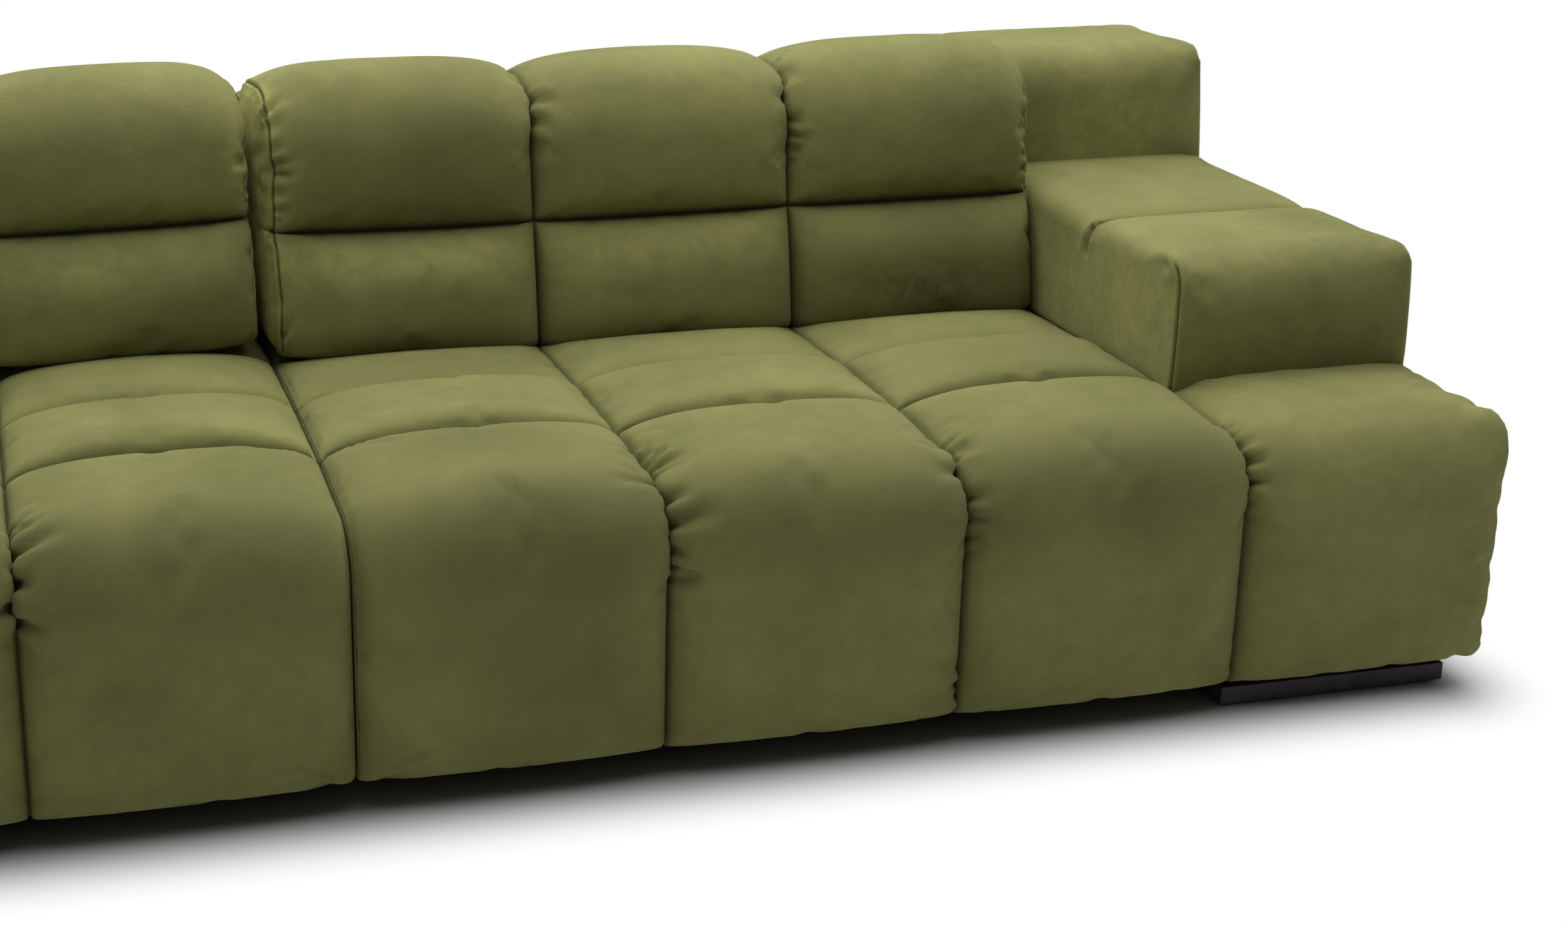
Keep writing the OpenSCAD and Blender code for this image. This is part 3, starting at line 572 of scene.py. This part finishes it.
def shapeCover(cover, step):
    # rest shape of a cover as a grid of points, stations by outline, with its two sides
    path = tracePath(cover["panels"], step)
    edgePath = tracePath(cover["panels"], step, True)
    seams = cover["seams"]
    inner, outer = seams[1] - seams[0], seams[-1] - seams[-2]
    rowsEnd = cover.get("rowsEnd", seams[-1] + 1)
    columns = traceColumns(cover, step, rowsEnd)
    radius = edgeRadius(cover, path)
    stations = []

    def addStation(x, column, inset, scale, calm, held, seam):
        sharp = column[edgeShare]
        outline = path[:, :inRows] * (1 - sharp) + edgePath[:, :inRows] * sharp
        full = np.where(path[:, inRows] > 0, column[rowsFull], column[wrapFull])
        swell = outline[:, endSwellBy if column[stationX] > rowsEnd else swellBy] * full
        y = outline[:, pathY] + swell * outline[:, pushY] - inset * outline[:, normalY]
        z = outline[:, pathZ] + swell * outline[:, pushZ] - inset * outline[:, normalZ]
        if np.any(inset):
            y, z = mitre(y, z, path)
        if scale < 1:
            # a side closes on a short line, not on a point, so that no ring crosses the next
            least = (1 - scale) * min(np.ptp(y), np.ptp(z))
            y += ((y.max() + y.min()) / 2 - y) * least / np.ptp(y)
            z += ((z.max() + z.min()) / 2 - z) * least / np.ptp(z)
        stations.append((x + 0 * y, y, z, held, seam + 0 * y, calm + 0 * y))

    def addSide(side):
        column = columns[-1] if side else columns[0]
        sign = 1 if side else -1
        fixed = cover["sideHeld"][side]
        seamUp = cover.get("seamUp", (2, 2))[side]
        upright = (path[:, normalZ] > -0.5) & (path[:, normalZ] < seamUp)
        rows = []
        for angle in roundEdge["angles"]:
            a = math.radians(angle)
            sewn = (path[:, normalY] < -0.8) & (angle == roundEdge["sewnAt"])
            crossing = path[:, isSeam] * (angle < roundEdge["rowsTo"]) * (column[stationX] < rowsEnd)
            rows.append((column[stationX] + sign * radius[side] * (math.sin(a) - 1), column,
                         radius[side] * (1 - math.cos(a)), 1, fixed * math.sin(a) ** 2,
                         np.maximum(path[:, isHeld] * (path[:, normalZ] < 0), sewn),
                         np.maximum((angle == cover["edgeSeam"][side]) * upright, crossing)))
        for k in range(1, roundEdge["rings"] + 1):
            share = k / roundEdge["rings"]
            inset = radius[side] * (1 - share) + radius[side].min() * share
            scale = 1 - k / (roundEdge["rings"] + 2)
            bulge = cover["bulge"][side] * math.sqrt(1 - scale ** roundEdge["bulgePower"])
            rows.append((column[stationX] + sign * bulge, column, inset, scale, fixed,
                         np.full(len(path), fixed, float), 0))
        for row in rows if side else rows[::-1]:
            addStation(*row)

    addSide(0)
    for column in columns:
        at = column[stationX]
        x = at + 0 * path[:, pathY]
        if at < seams[1]:
            x = seams[1] - (seams[1] - x) * (inner - radius[0]) / inner
        if at > seams[-2]:
            x = seams[-2] + (x - seams[-2]) * (outer - radius[1]) / outer
        if len(seams) == 2:
            low, high = seams[0] + radius[0], seams[1] - radius[1]
            x = (low + high) / 2 + column[fromMiddle] * (high - low) / 2
        marked = path[:, isSeam] * (at <= rowsEnd)
        addStation(x, column, 0, 1, 0, np.maximum(path[:, isHeld], column[atSeam]),
                   np.maximum(marked, column[atSeam]))
    addSide(1)
    x, y, z, held, seam, calm = (np.array([s[k] for s in stations]) for k in range(6))
    near = np.clip((seams[1] - x) / inner, 0, 1) ** 2
    x -= cover.get("splay", 0) * near * (y - y.min()) / np.ptp(y)
    z += near * np.interp(z, roundEdge["tipHigh"], cover.get("tip", (0, 0)))
    z += np.interp(z, *cover["lift"]) if "lift" in cover else 0
    y += (z - seatTop) * rake if cover.get("leans") else 0
    points = np.stack([x, y + frontY, z], axis=-1)
    across, along = measureCloth(points, path)
    shown = across > seams[0] - thread["past"]
    shown &= across < min(seams[-1], rowsEnd) + thread["past"]
    # the seam mark: the stitch line itself, and a painted shade that falls off beside the column and
    # row seams
    marks = [seam]
    for s in seams[1:-1]:
        marks.append(thread["columnPaintedShade"] * np.exp(-np.abs(across - s) / thread["columnWide"]))
    for s in path[path[:, isSeam] > 0, alongPath]:
        marks.append(thread["rowPaintedShade"] * np.exp(-np.abs(along - s) / thread["rowWide"]) * shown)
    right = np.clip((x - seams[-2]) / outer, 0, 1) ** 2
    high = np.clip((z - seatTop) / roundEdge["taperHigh"], 0, 1) ** 2
    points[..., 0] -= cover.get("taper", 0) * right * high
    return {"points": points, "held": held, "seam": np.max(marks, 0), "calm": calm,
            "across": across, "along": along, "folds": cover.get("folds", 1)}


def measureCloth(points, path):
    # places on the cloth: X across the seams, going on down the sides, and length along the outline
    first = len(roundEdge["angles"]) + roundEdge["rings"]
    last = len(points) - 1 - first
    steps = np.linalg.norm(np.diff(points, axis=0), axis=2)
    across = points[..., 0].copy()
    for i in range(first - 1, -1, -1):
        across[i] = across[i + 1] - steps[i]
    for i in range(last + 1, len(points)):
        across[i] = across[i - 1] + steps[i - 1]
    return across, np.tile(path[:, alongPath], (len(points), 1))


def gridFaces(stations, ring):
    i, j = np.meshgrid(np.arange(stations - 1), np.arange(ring), indexing="ij")
    k = (j + 1) % ring
    quads = np.stack([i * ring + j, (i + 1) * ring + j, (i + 1) * ring + k, i * ring + k], axis=-1)
    faces = quads.reshape(-1, 4).tolist()
    low, high = stations * ring, stations * ring + 1
    faces += [[a, low, (a + 1) % ring][::-1] for a in range(ring)]
    last = (stations - 1) * ring
    faces += [[last + a, high, last + (a + 1) % ring] for a in range(ring)]
    return faces


def gridMesh(name, points):
    # the grid closed by a point in the middle of each side
    ends = points[[0, -1]]
    poles = (ends.min(axis=1) + ends.max(axis=1)) / 2
    mesh = bpy.data.meshes.new(name)
    corners = np.vstack([points.reshape(-1, 3), poles]).tolist()
    mesh.from_pydata(corners, [], gridFaces(*points.shape[:2]))
    mesh.shade_smooth()
    made = bpy.data.objects.new(name, mesh)
    scene.collection.objects.link(made)
    return made


def layNapAndPaintedLight(shape, strokes):
    # soft patches where the pile lies up or down, which also carry painted light and shade: brighter
    # above 0, darker below
    napAndPaintedLight = np.zeros(shape["along"].shape)
    for x, s, wide, high, strength in strokes:
        off = ((shape["across"] - x) / wide) ** 2 + ((shape["along"] - s) / high) ** 2
        napAndPaintedLight += strength * np.exp(-off)
    return napAndPaintedLight


def hangCover(name, points, marks, body, node, finish):
    made = gridMesh(name, points)
    for label, values in marks.items():
        layer = made.data.attributes.new(label, "FLOAT", "POINT")
        poles = [values[0].mean(), values[-1].mean()]
        layer.data.foreach_set("value", np.append(values.ravel(), poles))
    made.data.materials.append(finish)
    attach(made, body)
    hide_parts(node)


def mirrorGrid(points):
    return points[::-1] * [-1, 1, 1]


# ---- cloth over filling ----

settle = {
    "pressure": 4.0, "slack": 0.035, "frames": 20, "quality": 4,
    "mass": 0.3, "stretch": 15, "bend": 0.5, "damping": 2,
    "loose": 0.12, "gatherWide": 0.06,                      # share of the slack away from a gather
    "plain": 0.85, "smoothRounds": 7, "most": 0.009,        # what of the run is kept as folds
}


def halfway(rows, closed):
    # values between neighbouring rows, on a smooth curve through them
    if closed:
        before, after, second = (np.roll(rows, shift, 0) for shift in (1, -1, -2))
    else:
        before = np.concatenate([rows[:1], rows[:-1]])
        after = np.concatenate([rows[1:], rows[-1:]])
        second = np.concatenate([after[1:], after[-1:]])
    return (9 * (rows + after) - before - second) / 16


def refine(rows, count, closed):
    fine = np.empty((count,) + rows.shape[1:])
    fine[0::2] = rows
    fine[1::2] = halfway(rows, closed)[:len(fine[1::2])]
    return fine


def smoothed(rows, rounds):
    for _ in range(rounds):
        ends = np.concatenate([rows[:1], rows, rows[-1:]])
        rows = (ends[:-2] + 2 * rows + ends[2:]) / 4
        rows = (np.roll(rows, 1, 1) + 2 * rows + np.roll(rows, -1, 1)) / 4
    return rows


def addWeights(thing, name, weights):
    group = thing.vertex_groups.new(name=name)
    rounded = np.round(weights.ravel(), 2)
    for weight in np.unique(rounded[rounded > 0]):
        group.add(np.flatnonzero(rounded == weight).tolist(), float(weight), "REPLACE")
    return group


def looseness(shape, gathers):
    # where the cloth is longer than its seam: share of the slack, 0 to 1
    loose = np.full(shape["along"].shape, settle["loose"])
    for g in gathers:
        far = (shape["across"] - g["x"]) / settle["gatherWide"]
        past = (shape["along"] - (g["from"] + g["to"]) / 2) / (g["to"] - g["from"]) * 2
        loose = np.maximum(loose, np.exp(-far ** 2 - past ** 4))
    return loose


def blowUp(shapes, gathers):
    # every cover as cloth, sewn down at its seams and pressed out by its filling
    things = {}
    for name, shape in shapes.items():
        thing = gridMesh(name + "_cloth", shape["points"][::2, ::2])
        held = shape["held"][::2, ::2]
        addWeights(thing, "sewn", held).add([held.size, held.size + 1], 1.0, "REPLACE")
        addWeights(thing, "tight", 1 - looseness(shape, gathers.get(name, []))[::2, ::2])
        cloth = thing.modifiers.new("cloth", "CLOTH")
        cloth.point_cache.frame_end = settle["frames"]
        rules = cloth.settings
        rules.vertex_group_mass = "sewn"
        rules.vertex_group_shrink = "tight"
        rules.shrink_min = -settle["slack"]
        rules.shrink_max = 0
        rules.quality = settle["quality"]
        rules.mass = settle["mass"]
        rules.tension_stiffness = rules.compression_stiffness = settle["stretch"]
        rules.bending_stiffness = settle["bend"]
        rules.air_damping = settle["damping"]
        rules.use_pressure = True
        rules.uniform_pressure_force = settle["pressure"]
        rules.effector_weights.gravity = 0
        cloth.collision_settings.use_collision = False
        things[name] = thing
    for number in range(1, settle["frames"] + 1):
        scene.frame_set(number)
    sight = bpy.context.evaluated_depsgraph_get()
    moves = {}
    for name, thing in things.items():
        soft = thing.evaluated_get(sight).data
        spots = np.empty(len(soft.vertices) * 3)
        soft.vertices.foreach_get("co", spots)
        rest = shapes[name]["points"][::2, ::2]
        moves[name] = spots.reshape(-1, 3)[:-2].reshape(rest.shape) - rest
        bpy.data.objects.remove(thing)
    scene.frame_set(1)
    return moves


def settleCovers(shapes, gathers):
    # the folds of the cloth run; the plain swelling is in the rest shape already
    for name, move in blowUp(shapes, gathers).items():
        shape = shapes[name]
        fold = move - settle["plain"] * smoothed(move, settle["smoothRounds"])
        size = np.linalg.norm(fold, axis=2, keepdims=True)
        limited = np.tanh(size / settle["most"]) * settle["most"]
        fold *= limited / np.maximum(size, 1e-9) * shape["folds"]
        count, ring = shape["points"].shape[:2]
        fold = refine(refine(fold, count, False).transpose(1, 0, 2), ring, True).transpose(1, 0, 2)
        shape["points"] = shape["points"] + fold * (1 - shape["calm"][..., None])
        moved, folded = (round(float(a.max()) * 1000, 1) for a in (np.abs(move), size))
        print(name, "cloth moved up to", moved, "mm, folds up to", folded, "mm")


# ---- gathers, pinches and seams, sewn in after the run ----

crease = {
    "begin": 0.7, "growth": 0.8, "lipAt": 1.9,      # width along the crease, and where its lip stands
    # painted shade along a crease: how narrow it lies, and the depth at which it is full
    "paintedShadeNarrow": 1.5, "paintedShadeFull": 0.008,         # a crease this deep is shaded in full
}
easing = {
    "endsLess": 0.7, "ownSide": 0.85, "start": 0.003, "fan": 0.25, "width": 0.007,
    "reach": (0.5, 1.25), "slant": (-0.2, 0.2), "depth": (0.5, 1.1), "widths": (0.8, 1.2),
    "pitch": (0.6, 1.4), "kink": 0.35, "kinkSize": (0.012, 0.009),
}


def outward(points):
    normal = np.cross(np.gradient(points, axis=0), np.roll(points, -1, 1) - np.roll(points, 1, 1))
    return normal / np.maximum(np.linalg.norm(normal, axis=2, keepdims=True), 1e-12)


def pressFold(shape, places, begin, end, depth, width, lip=0.35, dark=0.5):
    # a fold from one place to the other, deepest at the first and wider towards the second, with a
    # painted shade laid into the seam mark along it
    begin, end = np.array(begin), np.array(end)
    way = end - begin
    share = np.clip((places - begin) @ way / (way @ way), 0, 1)
    off = np.linalg.norm(places - begin - share[..., None] * way, axis=2)
    off /= width * (crease["begin"] + crease["growth"] * share)
    push = lip * np.exp(-(off - crease["lipAt"]) ** 2) - np.exp(-off ** 2)
    push *= depth * (1 - share ** 2)
    shape["points"] += push[..., None] * outward(shape["points"])
    # painted shade in the crease, darkest at its deep end
    paintedShade = dark * np.exp(-(crease["paintedShadeNarrow"] * off) ** 2) * (1 - share)
    paintedShade *= min(1, depth / crease["paintedShadeFull"])
    shape["seam"] = np.maximum(shape["seam"], np.minimum(paintedShade, 1))


def gatherSeam(shape, gather, seed):
    # short folds that fan out from a seam where cloth was eased in, each with a painted shade, and the
    # seam's own kinks
    dice = np.random.default_rng(seed)
    places = np.stack([shape["across"], shape["along"]], axis=-1)
    middle, half = (gather["from"] + gather["to"]) / 2, (gather["to"] - gather["from"]) / 2
    kinkWide, kinkLong = easing["kinkSize"]
    spot = gather["from"]
    while spot < gather["to"]:
        share = 1 - easing["endsLess"] * ((spot - middle) / half) ** 2
        own = gather["side"] and dice.random() < easing["ownSide"]
        side = gather["side"] if own else dice.choice([-1, 1])
        length = gather["reach"] * share * dice.uniform(*easing["reach"])
        slant = length * (easing["fan"] * (spot - middle) / half + dice.uniform(*easing["slant"]))
        depth = gather["depth"] * share * dice.uniform(*easing["depth"])
        begin = (gather["x"] + side * easing["start"], spot)
        end = (gather["x"] + side * length, spot + slant)
        width = easing["width"] * dice.uniform(*easing["widths"])
        pressFold(shape, places, begin, end, depth, width)
        beside, past = (places[..., 0] - gather["x"]) / kinkWide, (places[..., 1] - spot) / kinkLong
        shape["points"][..., 0] += side * easing["kink"] * depth * np.exp(-(beside ** 2 + past ** 2))
        spot += gather["pitch"] * dice.uniform(*easing["pitch"])


def drawSeams(shape):
    # thread pulls every seam into a narrow groove
    groove = np.clip(shape["seam"] * 2 - 1, 0, 1)
    shape["points"] -= thread["depth"] * groove[..., None] * outward(shape["points"])


def pinch(shape, folds):
    # folds at the corners and tucks, each with a painted shade, given by two points measured from the
    # front seams
    places = shape["points"] - [0, frontY, 0]
    for fold in folds:
        pressFold(shape, places, *fold)


# A cover is an outline in the YZ plane, panel by panel, over seams along X. Pairs are for its inner
# and outer side: keep is the fullness left there, sharp the share of edgeRun, edgeFace and edgeTop
# the edge's radius. A panel's crown is how far it swells at the front, on top and at the rear, its
# power how square that is before and after its middle, its tail the fullness kept from there on.

# seat base: front tufts wrap over the edge, rows behind them, plain rear
seat = {
    "seams": [0.002, 0.42, 0.84, 1.26, 1.654], "edgeSeam": (60, 45), "keep": (0, 0.85),
    "rowsEnd": 1.26, "sharp": (0, 1), "power": 3, "rowPower": 2.6,
    "edgeFace": (0.004, 0.010), "edgeTop": (0.004, 0.014), "bulge": (0, 0.006), "sideHeld": (1, 0),
    "panels": [
        {"run": [("arc", 0.03, 0.0593, 0.03, 270, 180), ("line", 0, 0.0593, 0, 0.311),
                 ("arc", 0.075, 0.311, 0.075, 180, 90), ("line", 0.075, 0.386, 0.262, 0.394)],
         "edgeRun": [("arc", 0.036, 0.0653, 0.036, 270, 180), ("line", 0, 0.0653, 0, 0.358),
                     ("arc", 0.028, 0.358, 0.028, 180, 90), ("line", 0.028, 0.386, 0.262, 0.394)],
         "crown": (0.045, 0.028, 0.058), "power": (4, 10), "tail": (0, 0.6),
         "endLoss": 0.52, "step": 0.005},
        {"run": [("line", 0.262, 0.394, 0.492, 0.394)], "row": 1,
         "crown": (0.044, 0.044, 0.044), "power": (8, 8)},
        {"run": [("line", 0.492, 0.394, 0.745, 0.388)], "row": 1,
         "crown": (0.027, 0.027, 0.021), "power": (7, 2.5)},
        {"run": [("line", 0.745, 0.388, 0.902, 0.386)], "row": 1, "crown": (0.032, 0.032, 0.032)},
        {"run": [("line", 0.902, 0.386, 1.157, 0.386), ("arc", 1.157, 0.368, 0.018, 90, 0)],
         "held": 1, "step": 0.05, "bunch": 0},
        {"run": [("line", 1.175, 0.368, 1.175, 0.0293)], "crown": (0.02, 0.02, 0.02), "step": 0.02},
        {"run": [("line", 1.175, 0.0293, 0.03, 0.0293)], "held": 1, "step": 0.08, "bunch": 0},
    ],
}

# arm: one wrap over front and top with a seam across, and soft sides
arm = {
    "seams": [1.26, 1.654], "edgeSeam": (60, 60), "keep": (0.8, 0.72), "sharp": (1, 1),
    "seamUp": (0.75, 0.75), "folds": 0.3, "taper": 0.030,
    "edgeFace": (0.012, 0.018), "edgeTop": (0.034, 0.026), "bulge": (0, 0), "sideHeld": (1, 1),
    "panels": [
        {"run": [("line", 0.2393, 0.3863, 0.2393, 0.525), ("arc", 0.2993, 0.525, 0.06, 180, 90),
                 ("line", 0.2993, 0.585, 0.5241, 0.585)],
         "edgeRun": [("line", 0.2393, 0.3863, 0.2393, 0.563), ("arc", 0.2613, 0.563, 0.022, 180, 90),
                     ("line", 0.2613, 0.585, 0.5241, 0.585)],
         "crown": (0.014, 0.020, 0.020), "power": (4, 8)},
        {"run": [("line", 0.5241, 0.585, 0.9017, 0.585)], "crown": (0.018, 0.018, 0.020),
         "tail": (0.95, 0.95)},
        {"run": [("line", 0.9017, 0.585, 0.9017, 0.3863)], "held": 1, "step": 0.03, "bunch": 0},
        {"run": [("line", 0.9017, 0.3863, 0.2393, 0.3863)], "held": 1, "step": 0.05, "bunch": 0},
    ],
}

# fixed back behind the cushion: raked, three tufts
back = {
    "seams": [0.002, 0.42, 0.84, 1.256], "edgeSeam": (60, 60), "keep": (0.72, 0), "sharp": (0, 0),
    "edgeFace": (0.006, 0.004), "edgeTop": (0.006, 0.006), "bulge": (0, 0), "sideHeld": (1, 1),
    "panels": [
        {"run": [("line", 0.902, 0.3863, 0.9596, 0.7179), ("arc", 0.9774, 0.715, 0.018, 170.6, 90),
                 ("line", 0.9774, 0.733, 1.157, 0.733), ("arc", 1.157, 0.715, 0.018, 90, 0)],
         "crown": (0, 0.012, 0.012)},
        {"run": [("line", 1.175, 0.715, 1.175, 0.3863)], "crown": (0.02, 0.02, 0.02), "step": 0.02},
        {"run": [("line", 1.175, 0.3863, 0.902, 0.3863)], "held": 1, "step": 0.05, "bunch": 0},
    ],
}

# fixed back beside the arm: taller, one tuft that rolls over the front
corner = {
    "seams": [1.26, 1.654], "edgeSeam": (60, 60), "keep": (0.72, 0.72), "sharp": (0, 1),
    "folds": 0.5, "taper": 0.020,
    "edgeFace": (0.006, 0.010), "edgeTop": (0.012, 0.024), "bulge": (0, 0), "sideHeld": (0, 1),
    "panels": [
        {"run": [("line", 0.902, 0.3863, 0.902, 0.723), ("arc", 0.957, 0.723, 0.055, 180, 90),
                 ("line", 0.957, 0.778, 1.155, 0.778), ("arc", 1.155, 0.758, 0.02, 90, 0)],
         "edgeRun": [("line", 0.902, 0.3863, 0.902, 0.756), ("arc", 0.924, 0.756, 0.022, 180, 90),
                     ("line", 0.924, 0.778, 1.155, 0.778), ("arc", 1.155, 0.758, 0.02, 90, 0)],
         "crown": (0.006, 0.014, 0.014)},
        {"run": [("line", 1.175, 0.758, 1.175, 0.3863)], "crown": (0.02, 0.02, 0.02), "step": 0.02},
        {"run": [("line", 1.175, 0.3863, 0.902, 0.3863)], "held": 1, "step": 0.05, "bunch": 0},
    ],
}

# loose back cushion: lumbar tufts, upper tufts that wrap over the top, boxed sides; drawn upright
cushion = {
    "seams": [0.010, 0.42, 0.84, 1.256], "edgeSeam": (45, 45), "keep": (0.45, 0.45),
    "sharp": (0, 0), "leans": 1, "power": 3, "splay": 0.017, "tip": (0.012, 0),
    "edgeFace": (0.014, 0.016), "edgeTop": (0.016, 0.016), "bulge": (0.012, 0), "sideHeld": (0, 0),
    "panels": [
        {"run": [("arc", 0.7425, 0.4080, 0.018, 270, 180), ("line", 0.7245, 0.4080, 0.7245, 0.588)],
         "crown": (0.063, 0.02, 0.02), "power": (3.2, 2.1), "step": 0.005},
        {"run": [("line", 0.7245, 0.588, 0.7245, 0.725), ("arc", 0.7845, 0.725, 0.06, 180, 90),
                 ("line", 0.7845, 0.785, 0.9015, 0.785)],
         "crown": (0.048, 0.046, 0.046), "power": (2.8, 4), "step": 0.005},
        {"run": [("line", 0.9015, 0.785, 0.9015, 0.400)], "held": 1, "step": 0.03, "bunch": 0},
        {"run": [("line", 0.9015, 0.400, 0.7425, 0.390)], "held": 1, "step": 0.03, "bunch": 0},
    ],
}

# where cloth was eased into a seam, and the side of it that the folds lie on, 0 for both
gatherKeys = ("x", "from", "to", "reach", "depth", "pitch", "side")
gathers = {
    "right_seat": [
        (0.42, 0.24, 0.52, 0.060, 0.010, 0.026, 1),
        (0.84, 0.27, 0.46, 0.055, 0.010, 0.024, 1),
        (0.84, 0.03, 0.10, 0.030, 0.006, 0.022, -1),
        (1.26, 0.28, 0.43, 0.045, 0.008, 0.024, 1),
    ],
    "left_seat": [
        (0.42, 0.26, 0.46, 0.060, 0.012, 0.030, -1),
    ],
    "right_cushion": [
        (0.42, 0.33, 0.45, 0.045, 0.009, 0.022, 0),
        (0.84, 0.28, 0.44, 0.040, 0.008, 0.022, 1),
        (0.014, 0.20, 0.39, 0.032, 0.006, 0.024, 1),
        (1.254, 0.20, 0.38, 0.030, 0.006, 0.024, -1),
    ],
    "left_cushion": [
        (0.018, 0.20, 0.38, 0.028, 0.005, 0.026, 1),
        (0.42, 0.33, 0.44, 0.040, 0.008, 0.024, 0),
    ],
}
gathers = {name: [dict(zip(gatherKeys, row)) for row in rows] for name, rows in gathers.items()}

# deepest point, far end, depth, width, height of the lip beside it, and how dark its painted shade is
pinches = {
    "right_arm": [
        # nose at the front corner
        ((1.272, 0.248, 0.578), (1.262, 0.280, 0.588), 0.013, 0.006, 0.5, 1.2),
        ((1.272, 0.236, 0.572), (1.320, 0.232, 0.545), 0.005, 0.008, 0.4),
        # tuck where the seam ends
        ((1.268, 0.527, 0.594), (1.260, 0.543, 0.527), 0.020, 0.0055, 0.2, 2.2),
        ((1.630, 0.241, 0.574), (1.610, 0.264, 0.600), 0.009, 0.006, 0.4),
    ],
    "right_corner": [((1.640, 0.903, 0.765), (1.606, 0.930, 0.790), 0.004, 0.007, 0.3)],
    "right_seat": [((1.650, -0.008, 0.386), (1.618, 0.020, 0.400), 0.010, 0.007, 0.5)],
    "right_cushion": [
        # dimple under the top corner
        ((0.008, 0.790, 0.768), (0.042, 0.797, 0.790), 0.013, 0.007, 0.5),
        ((0.010, 0.757, 0.584), (0.060, 0.757, 0.592), 0.008, 0.005, 0.4),
        ((0.010, 0.757, 0.574), (0.052, 0.755, 0.568), 0.006, 0.005, 0.3),
        ((0.412, 0.765, 0.577), (0.375, 0.755, 0.586), 0.007, 0.006, 0.4),
        ((0.014, 0.708, 0.440), (0.024, 0.700, 0.480), 0.007, 0.006, 0.3),
        ((1.250, 0.760, 0.586), (1.215, 0.757, 0.594), 0.007, 0.005, 0.4),
    ],
}
pinches |= {"left_" + name: pinches["right_" + name] for name in ("arm", "corner", "seat")}

# patches of nap with painted light and shade, darkened along the front rolls: middle across and along
# the cloth, width, length and strength; 9 long goes all the way round
paintedRollShade = [(x, 0.355, 0.19, 0.060, -0.28) for x in (0.21, 0.63, 1.05)]
strokes = {
    "right_seat": paintedRollShade + [
        (0.21, 0.16, 0.22, 0.20, -0.14), (0.21, 0.50, 0.16, 0.08, -0.16),
        (1.06, 0.72, 0.20, 0.14, -0.24), (0.20, 0.90, 0.20, 0.06, -0.18),
    ],
    "left_seat": paintedRollShade,
    "right_cushion": [
        (0.20, 0.28, 0.19, 0.11, -0.26), (1.05, 0.08, 0.19, 0.08, -0.60),
        (0.22, 0.165, 0.17, 0.034, 0.60), (0.63, 0.165, 0.15, 0.030, 0.20),
        (-0.05, 0.22, 0.06, 9, 1.50), (0.21, 0.035, 0.19, 0.035, -0.42),
        (0.63, 0.035, 0.19, 0.035, -0.25),
    ],
    "right_arm": [
        (1.13, 0.35, 0.13, 9, 0.28), (1.42, 0.66, 0.20, 0.14, -0.24), (1.46, 0.12, 0.20, 0.08, 0.14),
    ],
    "right_corner": [(1.46, 0.25, 0.20, 0.10, 0.36)],
    "left_cushion": [(0.13, 0.06, 0.13, 0.06, -0.32), (0.30, 0.145, 0.16, 0.035, 0.30)],
}

placeCamera()
lightScene()
layFloor()
dressFrame()
pile = weaveVelvet()

fineStep = 0.008
covers = {"seat": seat, "arm": arm, "back": back, "corner": corner, "cushion": cushion}
fills = dict.fromkeys(covers, 0.8) | {"cushion": 0.7}
shapes = {side + "_" + name: shapeCover(cover, fineStep) for side in ("right", "left")
          for name, cover in covers.items()}
# the left cushion was pushed a little towards its arm, which bares the side of the right one
moved = {"seams": [0.014, 0.43, 0.84, 1.256], "bulge": (0, 0), "splay": -0.040,
         "tip": (0.010, 0.003), "lift": ((0.39, 0.58, 0.80), (0.028, 0.026, 0.008))}
shapes["left_cushion"] = shapeCover(cushion | moved, fineStep)
# nobody sat in the left seat for a while: the rows in front of its cushion stand fuller
fuller = [{"crown": (0.050, 0.050, 0.050)}, {"crown": (0.044, 0.044, 0.042), "power": (7, 5)}]
plump = [panel | change for panel, change in zip(seat["panels"][1:3], fuller)]
plumpSeat = seat | {"panels": seat["panels"][:1] + plump + seat["panels"][3:]}
shapes["left_seat"] = shapeCover(plumpSeat, fineStep)
settleCovers(shapes, gathers)
for name, shape in shapes.items():
    for number, gather in enumerate(gathers.get(name, [])):
        gatherSeam(shape, gather, number)
    pinch(shape, pinches.get(name, []))
    drawSeams(shape)
    side, part = name.split("_")
    grid = shape["points"] if side == "right" else mirrorGrid(shape["points"])
    marks = {"seam": shape["seam"], "napAndPaintedLight": layNapAndPaintedLight(shape, strokes.get(name, []))}
    if side == "left":
        marks = {label: values[::-1] for label, values in marks.items()}
    body = side + ("_cushion" if part == "cushion" else "_module")
    node = side + "_" + ("back" if part == "corner" else part) + "_cover"
    hangCover(name + "_velvet", grid, marks, body, node, pile)
    print(name, grid.shape[:2], "faces", grid.shape[0] * grid.shape[1])
